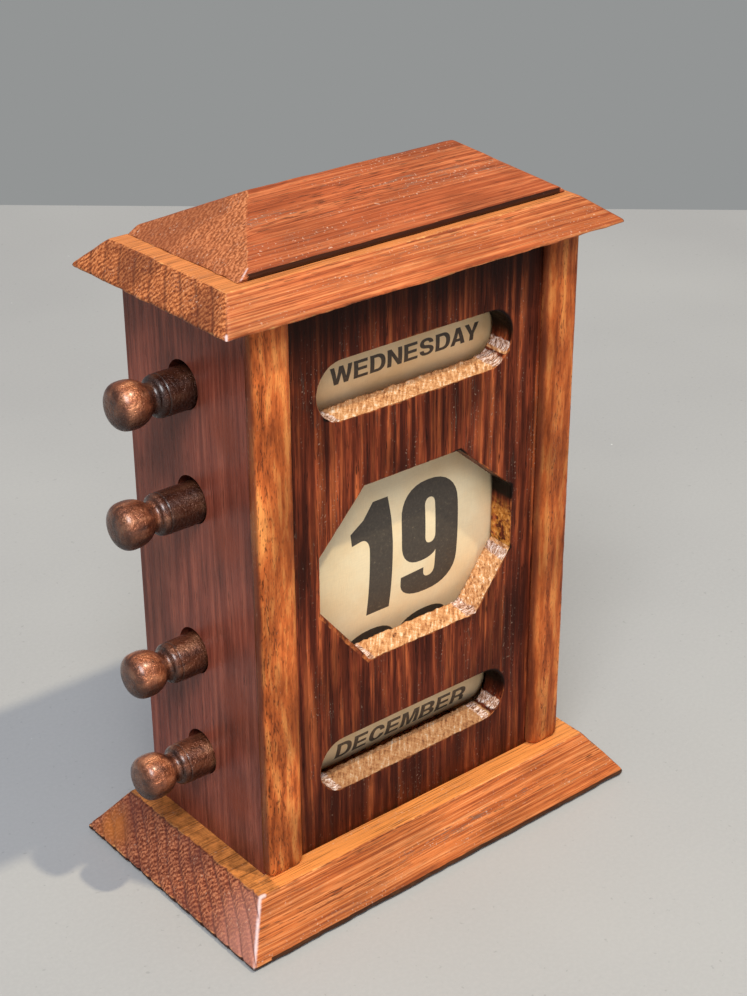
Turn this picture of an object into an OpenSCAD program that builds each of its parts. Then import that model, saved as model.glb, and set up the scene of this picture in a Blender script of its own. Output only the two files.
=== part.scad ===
// Perpetual desk calendar: an oak case with three windows. The day and the month are printed
// on two drums, and the date on a long band that winds between two rods. Four turned knobs
// on the left side work them.
// The origin is the middle of the base on the table, +X is the calendar's right as seen from
// the front, +Y runs to its back and +Z is up.

/* [Base] */
// Width of the base along its bottom edge
base_w = 135.5; // [124:0.5:160]
// Depth of the base along its bottom edge
base_d = 79; // [72:0.5:100]
// Thickness of the base board
base_h = 13.6; // [11:0.2:20]
// Height of the upright edge under the slopes
base_edge = 1.0; // [0.6:0.1:3]
// How far the slopes of the base run inwards
base_run = 9.2; // [6:0.2:10]
// Thickness of the cloth under the base
baize_t = 0.6; // [0.4:0.1:2]
// How far the cloth stays back from the edge of the base
baize_inset = 2.5; // [1:0.5:8]

/* [Case] */
// Width over the two side boards
case_w = 104.5; // [98:0.5:108]
// Depth from the front strips to the back of the back board
case_d = 53.2; // [50:0.2:55]
// Height of the side boards
case_h = 155.5; // [152:0.5:180]
// Thickness of each side board
side_t = 6.5; // [5.5:0.1:8]
// Thickness of the front board
front_t = 7.5; // [6:0.1:8]
// Thickness of the back board
back_t = 4; // [3:0.1:5]
// Width of the strip on the left front corner
left_strip_w = 11.8; // [9:0.1:13]
// Width of the strip on the right front corner
right_strip_w = 10.4; // [9:0.1:13]
// How far the corner strips stand out from the front board
strip_t = 3; // [2.4:0.1:4]
// Rounding of the corner strips towards the front board
strip_round_in = 2.7; // [1:0.1:2.9]
// Rounding of the corner strips on the outside
strip_round_out = 1.5; // [0.5:0.1:2]
// Side of the square blocks glued into the corners
block_side = 8; // [5:0.5:9]
// Length of those blocks
block_len = 26; // [16:1:32]

/* [Cornice] */
// Width of the cornice along its bottom edge
cornice_w = 126; // [116:0.5:140]
// Depth of the cornice along its bottom edge
cornice_d = 64.8; // [62:0.2:76]
// Thickness of the cornice
cornice_h = 7.8; // [6:0.1:12]
// Height of the upright edge under the slopes
cornice_edge = 0.4; // [0.2:0.1:2]
// How far the slope of the left end runs inwards
cornice_run_left = 6.2; // [5:0.1:10.8]
// How far the slope of the right end runs inwards
cornice_run_right = 10.4; // [5:0.1:10.8]
// How far the front and back slopes run inwards
cornice_run_y = 8.4; // [5:0.1:8.8]

/* [Roof block] */
// Width of the roof block
roof_w = 104; // [90:0.5:108]
// Depth of the roof block
roof_d = 44.8; // [38:0.2:46]
// Height of the roof block up to its ridge
roof_h = 12.5; // [8:0.1:20]
// Height of its upright front and back edges
roof_edge = 1.8; // [0.8:0.1:4]
// How far each end slope runs in to the ridge
roof_hip = 20; // [10:0.5:30]
// How far the block sits behind the middle of the cornice
roof_shift = 0.8; // [0:0.1:1]

/* [Windows] */
// Width of the day window, a slot with round ends
day_window_w = 63.4; // [56:0.2:68]
// Width of the month window, a slot with round ends
month_window_w = 65.4; // [56:0.2:68]
// Height of the day and month windows
slot_h = 16; // [13:0.2:17]
// Height of the middle of the day window, as a share of the case's height
day_window_at = 0.838; // [0.83:0.001:0.85]
// Height of the middle of the date window, as a share of the case's height
date_window_at = 0.496; // [0.485:0.001:0.505]
// Height of the middle of the month window, as a share of the case's height
month_window_at = 0.149; // [0.14:0.001:0.165]
// Width of the date window
date_window_w = 65; // [56:0.5:68]
// Height of the date window
date_window_h = 51; // [44:0.5:53]
// How far the date window sits to the right of the middle
date_window_x = 0.7; // [-1:0.1:2]
// Corner cuts along the width: top left, top right, bottom right, bottom left
date_cuts_w = [14.6, 18.6, 12, 16.3]; // [8:0.1:22]
// Corner cuts along the height, in the same order
date_cuts_h = [15.5, 16, 16, 20]; // [8:0.1:22]

/* [Rods and knobs] */
// How far the day rod lies behind the middle of the case
day_rod_y = 2.2; // [1.8:0.1:2.8]
// How far the upper date rod lies behind the middle of the case
upper_rod_y = 0.9; // [0.6:0.1:4]
// How far the lower date rod lies behind the middle of the case
lower_rod_y = 3.7; // [0.6:0.1:4]
// How far the month rod lies behind the middle of the case
month_rod_y = 2.5; // [1.8:0.1:2.8]
// Height of the day rod, as a share of the case's height
day_rod_at = 0.8386; // [0.836:0.0002:0.842]
// Height of the upper date rod, as a share of the case's height
upper_rod_at = 0.643; // [0.634:0.001:0.646]
// Height of the lower date rod, as a share of the case's height
lower_rod_at = 0.355; // [0.35:0.001:0.366]
// Height of the month rod, as a share of the case's height
month_rod_at = 0.157; // [0.148:0.001:0.161]
// Diameter of the rods
rod_d = 11; // [9:0.1:12]
// Play of the rods in the holes of the left side board
hole_play = 1.7; // [0.5:0.1:3]
// Diameter of the knobs
knob_d = 12.3; // [11:0.1:16]
// How far the knobs stand out from the left side board
knob_out = 20.4; // [18:0.1:30]
// Length of the round head of a knob
knob_head = 9.3; // [8:0.1:13]
// Where the head is widest, as a share of its length from the tip
head_widest = 0.5; // [0.45:0.01:0.65]
// Diameter of the turned neck between head and shoulder
neck_d = 7.8; // [6:0.1:8]
// Length of that neck
neck_len = 2; // [1:0.1:3]
// Length of the rounded shoulder behind the neck
shoulder_len = 1.8; // [1:0.1:3]
// Width of the line cut behind the shoulder
line_w = 0.5; // [0.3:0.1:1]
// Depth of that line
line_depth = 0.3; // [0.1:0.1:0.6]
// How far the upper date rod is pulled out
upper_pull = 2.4; // [0:0.1:2.5]
// Lengthwise play of the rods
end_play = 2.7; // [2.6:0.1:4]
// Diameter of the stop collar on each rod
collar_d = 17; // [14:0.5:20]
// Thickness of the stop collars
collar_t = 4; // [2:0.5:8]
// Diameter of the pin at the right end of each rod
pivot_d = 3; // [2:0.1:4]
// How deep the pins go into the rods
pivot_grip = 9; // [6:0.5:14]
// How deep the pins reach into the right side board
pivot_reach = 4; // [3.5:0.1:4.5]

/* [Drums and band] */
// Diameter of the day and month drums without their printed strips
drum_d = 34.4; // [30:0.1:34.6]
// Length of the drums
drum_len = 60; // [54:0.5:64]
// How far drums and band sit to the right of the middle
print_x = 3.3; // [2.5:0.1:5]
// Thickness of the printed strips on the drums
paper_t = 0.3; // [0.2:0.05:0.4]
// Thickness of the date band
band_t = 0.25; // [0.2:0.01:0.28]
// Width of the date band
band_w = 64; // [62:0.5:68]
// Spacing of the numbers along the date band
number_pitch = 35.3; // [30:0.1:36]
// How many numbers are wound on the upper date rod
numbers_above = 18; // [12:1:18]
// How many numbers are wound on the lower date rod
numbers_below = 12; // [6:1:18]
// Gap between the date band and the front board
band_gap = 0.7; // [0.3:0.1:1]
// Radius of the curved front of the platen behind the date band
platen_curve = 110; // [90:1:200]
// Height of the platen
platen_h = 58; // [56:0.5:60]
// Depth of the platen from its front curve to its flat back
platen_t = 5; // [4.6:0.1:5.2]
// Rounding of the platen's upper and lower edges
platen_round = 1; // [0.5:0.1:1.2]

/* [Screws] */
// Diameter of the screws' shanks
screw_d = 2.4; // [1.8:0.1:3]
// Diameter of the screws' heads
head_d = 4.8; // [4:0.1:5.6]
// Height of the screws' countersunk heads
head_h = 1.5; // [1:0.1:2]
// Length of the screws in the back board
back_screw_len = 13; // [8:0.5:20]
// Length of the screws in the base
base_screw_len = 24; // [18:0.5:30]
// Distance of the outer back screws from the ends of the back board
back_screw_end = 10; // [6:0.5:20]
// Distance of the base screws from the middle of the case
base_screw_y = 9; // [6:0.5:10]

/* [Fits] */
// Radial running clearance of a shaft in its hole
run_fit = 0.05; // [0.02:0.01:0.1]
// Gap between parts that pass each other
pass_gap = 0.3; // [0.2:0.05:0.5]
// Extra depth at the bottom of a blind hole
hole_end = 0.5; // [0.2:0.1:1]

/* [Hidden] */

// Levels and faces that several pieces share
base_top = baize_t + base_h;
case_top = base_top + case_h;
cornice_top = case_top + cornice_h;
case_front = -case_d / 2;
panel_front = case_front + strip_t;
panel_back = panel_front + front_t;
side_back = case_d / 2 - back_t;
inner_w = case_w - 2 * side_t;
side_mid = case_w / 2 - side_t / 2;
cut = 1;
curve_fn = 96;
knob_fn = 64;
small_fn = 32;
dome_power = 3;
back_cut = 0.7;
knob_steps = 26;

// Rods: [y, z] of each axis
day_axis = [day_rod_y, base_top + day_rod_at * case_h];
upper_axis = [upper_rod_y, base_top + upper_rod_at * case_h];
lower_axis = [lower_rod_y, base_top + lower_rod_at * case_h];
month_axis = [month_rod_y, base_top + month_rod_at * case_h];
rod_axes = [day_axis, upper_axis, lower_axis, month_axis];
rod_right = inner_w / 2 - pass_gap;
collar_x = -inner_w / 2 + end_play;

// Band: radii of the two wound rolls, from the length that each one holds
date_z = base_top + date_window_at * case_h;
upper_roll_r = sqrt(pow(rod_d / 2, 2) + band_t * number_pitch * numbers_above / PI);
lower_roll_r = sqrt(pow(rod_d / 2, 2) + band_t * number_pitch * numbers_below / PI);

// Platen: a curved front between two rounded edges
platen_front = panel_back + band_gap + band_t;
platen_back = platen_front + platen_t;
curve_centre = [platen_front + platen_curve, date_z];
half_angle = asin((platen_h / 2) / platen_curve);
edge_centre_up = curve_centre
  + (platen_curve - platen_round) * [cos(180 - half_angle), sin(180 - half_angle)];
edge_centre_down = curve_centre
  + (platen_curve - platen_round) * [cos(180 + half_angle), sin(180 + half_angle)];
curve_steps = 32;
edge_steps = 8;

function direction(a) = [cos(a), sin(a)];
function angle_of(v) = atan2(v.y, v.x);
// Points on an arc from angle a0 to angle a1
function arc(centre, r, a0, a1, steps) =
  [for (i = [0:steps]) centre + r * direction(a0 + (a1 - a0) * i / steps)];
function reversed(list) = [for (i = [len(list) - 1:-1:0]) list[i]];
// Angle of the normal of the line that touches two circles on the same side:
// the difference of the radii, over the distance of the centres, is its cosine from their line
function tangent_angle(c1, r1, c2, r2, side) =
  angle_of(c2 - c1) + side * acos((r1 - r2) / norm(c2 - c1));

// The band touches the platen's edge and would touch the roll, less the gap it keeps
roll_gap = pass_gap;
leave_up = tangent_angle(edge_centre_up, platen_round,
                         upper_axis, upper_roll_r + roll_gap, 1);
leave_down = tangent_angle(edge_centre_down, platen_round,
                           lower_axis, lower_roll_r + roll_gap, -1) + 360;
// One face of the band, at height h above the platen
function band_face(h) = concat(
  [upper_axis + (upper_roll_r + roll_gap + h) * direction(leave_up)],
  arc(edge_centre_up, platen_round + h, leave_up, 180 - half_angle, edge_steps),
  arc(curve_centre, platen_curve + h, 180 - half_angle, 180 + half_angle, curve_steps),
  arc(edge_centre_down, platen_round + h, 180 + half_angle, leave_down, edge_steps),
  [lower_axis + (lower_roll_r + roll_gap + h) * direction(leave_down)]);
platen_outline = let (top = edge_centre_up + platen_round * direction(leave_up),
                      bottom = edge_centre_down + platen_round * direction(leave_down))
  concat(
    arc(edge_centre_up, platen_round, leave_up, 180 - half_angle, edge_steps),
    arc(curve_centre, platen_curve, 180 - half_angle, 180 + half_angle, curve_steps),
    arc(edge_centre_down, platen_round, 180 + half_angle, leave_down, edge_steps),
    [[platen_back, bottom.y], [platen_back, top.y]]);

// Screws: width of the slots, places of the back screws as [x, z], of the base ones as [x, y]
driver_slot = head_d / 6;
back_screw_at = [for (x = [-side_mid, side_mid],
                      z = [base_top + back_screw_end, (base_top + case_top) / 2,
                           case_top - back_screw_end]) [x, z]];
base_screw_at = [for (x = [-side_mid, side_mid], y = [-base_screw_y, base_screw_y]) [x, y]];

// Outline in Y and Z, drawn along X from x0
module along_x(x0, len) {
  translate([x0, 0, 0])
    rotate([90, 0, 90])
      linear_extrude(len)
        children();
}

// Cylinder along X from x0, round an axis given as [y, z]
module rod_along_x(x0, len, axis, d, fn) {
  translate([x0, axis.x, axis.y])
    rotate([0, 90, 0])
      cylinder(d = d, h = len, $fn = fn);
}

// Slab with an upright edge and four slopes, resting at height 0
module sloped_slab(w, d, h, edge, run_left, run_right, run_y) {
  intersection() {
    translate([0, d / 2, 0])
      rotate([90, 0, 0])
        linear_extrude(d)
          polygon([[-w / 2, 0], [w / 2, 0], [w / 2, edge], [w / 2 - run_right, h],
                   [-w / 2 + run_left, h], [-w / 2, edge]]);
    along_x(-w / 2, w)
      polygon([[-d / 2, 0], [d / 2, 0], [d / 2, edge], [d / 2 - run_y, h],
               [-d / 2 + run_y, h], [-d / 2, edge]]);
  }
}

// Countersunk screw along +Z with the flat of its head at height 0, widened by gap for its hole
module screw(len, gap = 0, slot = true) {
  difference() {
    union() {
      cylinder(d1 = head_d + 2 * gap, d2 = screw_d + 2 * gap, h = head_h, $fn = small_fn);
      cylinder(d = screw_d + 2 * gap, h = len, $fn = small_fn);
    }
    if (slot)
      translate([-head_d, -driver_slot / 2, -cut])
        cube([2 * head_d, driver_slot, cut + head_h / 3]);
  }
}

module at_back_screws() {
  for (p = back_screw_at)
    translate([p.x, case_d / 2, p.y])
      rotate([90, 0, 0])
        children();
}

module at_base_screws() {
  for (p = base_screw_at)
    translate([p.x, p.y, baize_t])
      children();
}

module base_plinth() {
  color("chocolate")
    difference() {
      translate([0, 0, baize_t])
        sloped_slab(base_w, base_d, base_h, base_edge, base_run, base_run, base_run);
      at_base_screws() screw(base_screw_len, 0, false);
    }
}

module base_baize() {
  color("darkgreen")
    translate([-base_w / 2 + baize_inset, -base_d / 2 + baize_inset, 0])
      cube([base_w - 2 * baize_inset, base_d - 2 * baize_inset, baize_t]);
}

module base_screws() {
  color("silver") at_base_screws() screw(base_screw_len);
}

// Side board between the front strip and the back board
module side_board(x0) {
  difference() {
    translate([x0, panel_front, base_top])
      cube([side_t, side_back - panel_front, case_h]);
    at_base_screws() screw(base_screw_len, 0, false);
    at_back_screws() screw(back_screw_len, 0, false);
  }
}

// The rods lie on the bottom of their holes
module left_side() {
  hole_d = rod_d + hole_play;
  lift = [0, hole_play / 2 - run_fit];
  color("sienna")
    difference() {
      side_board(-case_w / 2);
      for (axis = rod_axes)
        rod_along_x(-case_w / 2 - cut, side_t + 2 * cut, axis + lift, hole_d, curve_fn);
    }
}

module right_side() {
  color("sienna")
    difference() {
      side_board(case_w / 2 - side_t);
      for (axis = rod_axes)
        rod_along_x(inner_w / 2 - cut, cut + pivot_reach + hole_end, axis,
                    pivot_d + 2 * run_fit, small_fn);
    }
}

// Slot with round ends
module slot_window(w) {
  for (x = [-w / 2 + slot_h / 2, w / 2 - slot_h / 2])
    translate([x, 0])
      circle(d = slot_h, $fn = curve_fn);
  translate([-w / 2 + slot_h / 2, -slot_h / 2])
    square([w - slot_h, slot_h]);
}

// Eight-sided window whose corners are sawn off by hand, each a little differently
module date_window() {
  w = date_window_w / 2;
  h = date_window_h / 2;
  cw = date_cuts_w;
  ch = date_cuts_h;
  polygon([[-w, h - ch[0]], [-w + cw[0], h], [w - cw[1], h], [w, h - ch[1]],
           [w, -h + ch[2]], [w - cw[2], -h], [-w + cw[3], -h], [-w, -h + ch[3]]]);
}

module front_panel() {
  color("saddlebrown")
    translate([0, panel_back, base_top])
      rotate([90, 0, 0])
        linear_extrude(front_t)
          difference() {
            translate([-inner_w / 2, 0])
              square([inner_w, case_h]);
            translate([0, day_window_at * case_h]) slot_window(day_window_w);
            translate([date_window_x, date_window_at * case_h]) date_window();
            translate([0, month_window_at * case_h]) slot_window(month_window_w);
          }
}

// Corner strip in plan: its outer edge at x = 0, its back at y = 0, its front towards -y
module strip_plan(w) {
  ri = strip_round_in;
  ro = strip_round_out;
  translate([ro, -strip_t]) square([w - ro - ri, strip_t]);
  translate([0, -strip_t + ro]) square([ro, strip_t - ro]);
  translate([w - ri, -strip_t + ri]) square([ri, strip_t - ri]);
  translate([ro, -strip_t + ro]) circle(r = ro, $fn = small_fn);
  intersection() {
    translate([w - ri, -strip_t + ri]) circle(r = ri, $fn = small_fn);
    translate([w - ri, -strip_t]) square([ri, strip_t]);
  }
}

module left_strip() {
  color("peru")
    translate([-case_w / 2, panel_front, base_top])
      linear_extrude(case_h)
        strip_plan(left_strip_w);
}

module right_strip() {
  color("peru")
    translate([case_w / 2, panel_front, base_top])
      linear_extrude(case_h)
        mirror([1, 0]) strip_plan(right_strip_w);
}

module back_panel() {
  color("sienna")
    difference() {
      translate([-case_w / 2, side_back, base_top])
        cube([case_w, back_t, case_h]);
      at_back_screws() screw(back_screw_len, 0, false);
    }
}

module back_screws() {
  color("gold") at_back_screws() screw(back_screw_len);
}

// Blocks glued into the corners between the side boards and the base and cornice
module glue_blocks() {
  color("burlywood")
    for (x = [-inner_w / 2, inner_w / 2 - block_side],
         z = [base_top, case_top - block_side])
      translate([x, -block_len / 2, z])
        cube([block_side, block_len, block_side]);
}

module cornice() {
  color("chocolate")
    translate([0, 0, case_top])
      sloped_slab(cornice_w, cornice_d, cornice_h, cornice_edge,
                  cornice_run_left, cornice_run_right, cornice_run_y);
}

// Hipped block: the end slopes start at its bottom, front and back have an upright edge
module roof_block() {
  color("chocolate")
    translate([0, roof_shift, cornice_top])
      intersection() {
        translate([0, roof_d / 2, 0])
          rotate([90, 0, 0])
            linear_extrude(roof_d)
              polygon([[-roof_w / 2, 0], [roof_w / 2, 0],
                       [roof_w / 2 - roof_hip, roof_h], [-roof_w / 2 + roof_hip, roof_h]]);
        along_x(-roof_w / 2, roof_w)
          polygon([[-roof_d / 2, 0], [roof_d / 2, 0], [roof_d / 2, roof_edge],
                   [0, roof_h], [-roof_d / 2, roof_edge]]);
      }
}

// Curved former glued between the side boards, over which the date band runs
module date_platen() {
  color("burlywood")
    along_x(-inner_w / 2, inner_w)
      polygon(platen_outline);
}

// The open length of the band, from the upper roll over the platen to the lower roll
module date_band() {
  color("wheat")
    along_x(print_x - band_w / 2, band_w)
      polygon(concat(band_face(0), reversed(band_face(band_t))));
}

// Radius of a knob at distance s from its tip: a blunt dome, a rounder back, a hollow neck,
// a rounded shoulder, and the rod
function knob_radius(s) =
  let (widest = head_widest * knob_head,
       blunt = pow(1 - pow(max(0, 1 - s / widest), dome_power), 1 / dome_power),
       back = sqrt(1 - pow(back_cut * (s - widest) / (knob_head - widest), 2)),
       head_end = knob_d / 2 * sqrt(1 - pow(back_cut, 2)),
       hollow = neck_d / 2
         + (head_end - neck_d / 2) * pow(2 * (s - knob_head) / neck_len - 1, 2),
       t = (s - knob_head - neck_len) / shoulder_len,
       round = head_end + (rod_d / 2 - head_end) * sqrt(1 - pow(1 - t, 2)))
  s <= widest ? knob_d / 2 * blunt
  : s <= knob_head ? knob_d / 2 * back
  : s <= knob_head + neck_len ? hollow
  : round;

// Rod with its knob turned on its left end
module knob_rod(axis, pull) {
  tip = -case_w / 2 - pull - knob_out;
  line_at = knob_head + neck_len + shoulder_len;
  right = rod_right - pull - tip;
  turned = [for (i = [1:knob_steps])
    let (s = line_at * (1 - cos(180 * i / knob_steps)) / 2) [knob_radius(s), s]];
  color("saddlebrown")
    translate([tip, axis.x, axis.y])
      rotate([0, 90, 0])
        difference() {
          rotate_extrude($fn = knob_fn)
            polygon(concat(
              [[0, 0]], turned,
              [[rod_d / 2 - line_depth, line_at + line_w / 2],
               [rod_d / 2, line_at + line_w], [rod_d / 2, right], [0, right]]));
          translate([0, 0, right - pivot_grip])
            cylinder(d = pivot_d, h = pivot_grip + cut, $fn = small_fn);
        }
}

// Ring glued on a rod just inside the left side board, so that the rod can't slip out
module collar(axis, pull) {
  color("burlywood")
    difference() {
      rod_along_x(collar_x - pull, collar_t, axis, collar_d, curve_fn);
      rod_along_x(collar_x - pull - cut, collar_t + 2 * cut, axis, rod_d, knob_fn);
    }
}

module pivot(axis, pull) {
  color("silver")
    rod_along_x(rod_right - pull - pivot_grip, pivot_grip + pass_gap + pivot_reach,
                axis, pivot_d, small_fn);
}

module drum(axis) {
  color("burlywood")
    difference() {
      rod_along_x(print_x - drum_len / 2, drum_len, axis, drum_d, curve_fn);
      rod_along_x(print_x - drum_len / 2 - cut, drum_len + 2 * cut, axis, rod_d, knob_fn);
    }
}

// Paper or linen of thickness t, wound round something of diameter d
module wound_ring(axis, len, d, t) {
  color("wheat")
    difference() {
      rod_along_x(print_x - len / 2, len, axis, d + 2 * t, curve_fn);
      rod_along_x(print_x - len / 2 - cut, len + 2 * cut, axis, d, curve_fn);
    }
}

module day_rod() { knob_rod(day_axis, 0); }
module day_collar() { collar(day_axis, 0); }
module day_pivot() { pivot(day_axis, 0); }
module day_drum() { drum(day_axis); }
module day_paper() { wound_ring(day_axis, drum_len, drum_d, paper_t); }

module upper_date_rod() { knob_rod(upper_axis, upper_pull); }
module upper_date_collar() { collar(upper_axis, upper_pull); }
module upper_date_pivot() { pivot(upper_axis, upper_pull); }
module upper_band_roll() { wound_ring(upper_axis, band_w, rod_d, upper_roll_r - rod_d / 2); }

module lower_date_rod() { knob_rod(lower_axis, 0); }
module lower_date_collar() { collar(lower_axis, 0); }
module lower_date_pivot() { pivot(lower_axis, 0); }
module lower_band_roll() { wound_ring(lower_axis, band_w, rod_d, lower_roll_r - rod_d / 2); }

module month_rod() { knob_rod(month_axis, 0); }
module month_collar() { collar(month_axis, 0); }
module month_pivot() { pivot(month_axis, 0); }
module month_drum() { drum(month_axis); }
module month_paper() { wound_ring(month_axis, drum_len, drum_d, paper_t); }

base_plinth();
base_baize();
base_screws();
left_side();
right_side();
front_panel();
left_strip();
right_strip();
back_panel();
back_screws();
glue_blocks();
cornice();
roof_block();
date_platen();
date_band();
day_rod();
day_collar();
day_pivot();
day_drum();
day_paper();
upper_date_rod();
upper_date_collar();
upper_date_pivot();
upper_band_roll();
lower_date_rod();
lower_date_collar();
lower_date_pivot();
lower_band_roll();
month_rod();
month_collar();
month_pivot();
month_drum();
month_paper();
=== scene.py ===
# %% [markdown]
# # A perpetual desk calendar of stained oak
# The calendar is a small case with three windows. Behind them turn a drum with the names of
# the days, a long band with the numbers of the date, and a drum with the names of the months.
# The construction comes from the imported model. This script gives each piece its finish, and
# makes anew the pieces whose edges, curves or lettering need more than plain solids.
# All of the script's own numbers are in millimetres, and become metres as a mesh is made.

# %% Load the frame
import bpy
import bmesh
import itertools
import math
import numpy as np
from mathutils import Matrix, Vector


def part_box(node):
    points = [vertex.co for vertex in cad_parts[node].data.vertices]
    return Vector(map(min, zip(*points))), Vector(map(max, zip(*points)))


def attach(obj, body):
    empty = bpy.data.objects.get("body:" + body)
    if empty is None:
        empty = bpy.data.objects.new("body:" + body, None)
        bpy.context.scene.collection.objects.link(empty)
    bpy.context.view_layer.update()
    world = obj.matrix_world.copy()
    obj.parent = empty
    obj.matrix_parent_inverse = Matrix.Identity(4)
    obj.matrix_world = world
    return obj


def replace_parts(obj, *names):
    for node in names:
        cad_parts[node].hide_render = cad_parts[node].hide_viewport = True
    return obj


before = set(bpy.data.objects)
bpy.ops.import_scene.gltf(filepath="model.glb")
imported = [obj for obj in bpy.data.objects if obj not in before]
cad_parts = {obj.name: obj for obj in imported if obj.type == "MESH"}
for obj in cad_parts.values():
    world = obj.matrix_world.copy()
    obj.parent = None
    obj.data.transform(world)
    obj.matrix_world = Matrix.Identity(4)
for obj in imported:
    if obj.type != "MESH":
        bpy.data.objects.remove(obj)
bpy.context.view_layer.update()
MM = 0.001


def box_mm(node):
    """The two corners of a node's box in mm."""
    return [np.array(corner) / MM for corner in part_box(node)]


def round_mm(node):
    """The two corners of a round node that lies along x, its middle (y, z) and its radius."""
    low, high = box_mm(node)
    return low, high, (low[1:] + high[1:]) / 2, (high[1] - low[1]) / 2


# %% [markdown]
# ## Words for arrays and meshes
# A surface is a grid of points: one function works out the whole grid at once, and another
# joins neighbouring points by four-sided faces. A grid may close on itself like a ring.

# %% Faces of a grid
def grid_faces(rows, columns, close_rows=False, close_columns=True):
    """Corner numbers of the faces between neighbours: (i, j), (i, j+1), (i+1, j+1), (i+1, j)."""
    i = np.arange(rows if close_rows else rows - 1)[:, None]
    j = np.arange(columns if close_columns else columns - 1)[None, :]
    i2, j2 = (i + 1) % rows, (j + 1) % columns
    corners = [i * columns + j, i * columns + j2, i2 * columns + j2, i2 * columns + j]
    return np.stack([c.ravel() for c in np.broadcast_arrays(*corners)], axis=1)


def closed_tube(rows, columns):
    """Faces of a tube of points, with its first and its last row as flat ends."""
    last = (rows - 1) * columns
    return grid_faces(rows, columns).tolist() + [list(range(columns))[::-1],
                                                 list(range(last, last + columns))]


# %% Mesh objects
def make_piece(name, points, faces, material, body, slot, smooth=True, merge=0.0, **values):
    """A mesh object from points in mm and faces as lists of corner numbers. Extra keywords are
    one number per point, kept as attributes that the material can read."""
    mesh = bpy.data.meshes.new(name)
    mesh.from_pydata((np.asarray(points) * MM).tolist(), [], [list(map(int, f)) for f in faces])
    for key, value in values.items():
        mesh.attributes.new(key, "FLOAT", "POINT").data.foreach_set(
            "value", np.asarray(value, dtype=np.float32))
    if merge:
        work = bmesh.new()
        work.from_mesh(mesh)
        bmesh.ops.remove_doubles(work, verts=work.verts, dist=merge * MM)
        bmesh.ops.dissolve_degenerate(work, edges=work.edges, dist=merge * MM / 10)
        bmesh.ops.recalc_face_normals(work, faces=work.faces)
        work.to_mesh(mesh)
        work.free()
    mesh.polygons.foreach_set("use_smooth", np.full(len(mesh.polygons), smooth))
    mesh.materials.append(material)
    piece = bpy.data.objects.new(name, mesh)
    bpy.context.scene.collection.objects.link(piece)
    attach(piece, body)
    print(f"{name}: {len(mesh.vertices)} points, {len(mesh.polygons)} faces")
    return piece


# %% [markdown]
# Nothing made by hand is quite even. The unevenness comes from value noise: random numbers
# at the corners of cubes, blended smoothly between them.

# %% Noise for arrays of points
def uneven(points, size, seed=0.0):
    """Smooth random field from -1 to 1: eight hashed corner values, mixed by 3f^2 - 2f^3."""
    place = points / size + seed * 7.31
    cell = np.floor(place)
    part = place - cell
    part = part * part * (3 - 2 * part)
    total = np.zeros(len(points))
    for corner in itertools.product((0, 1), repeat=3):
        value = np.sin((cell + corner) @ np.array([127.1, 311.7, 74.7])) * 43758.5453
        weight = np.where(np.array(corner) == 1, part, 1 - part).prod(axis=1)
        total += weight * (value - np.floor(value))
    return total * 2 - 1


# %% [markdown]
# ## Words for materials
# A material is a net of small nodes. These helpers add one node each and hand back what it
# puts out, so that a finish reads like a recipe. Colours are written as they look on a screen,
# from 0 to 255, and turned into light values.

# %% Colours and node helpers
def tinted(colour, share):
    """A screen colour whose three numbers are taken times share."""
    return tuple(c * share for c in colour)


def paint(red, green, blue):
    """Screen colour to linear light: c/12.92 below 0.04045, else ((c + 0.055)/1.055)^2.4."""
    c = np.array([red, green, blue]) / 255
    linear = np.where(c <= 0.04045, c / 12.92, ((c + 0.055) / 1.055) ** 2.4)
    return (*linear.tolist(), 1.0)


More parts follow.
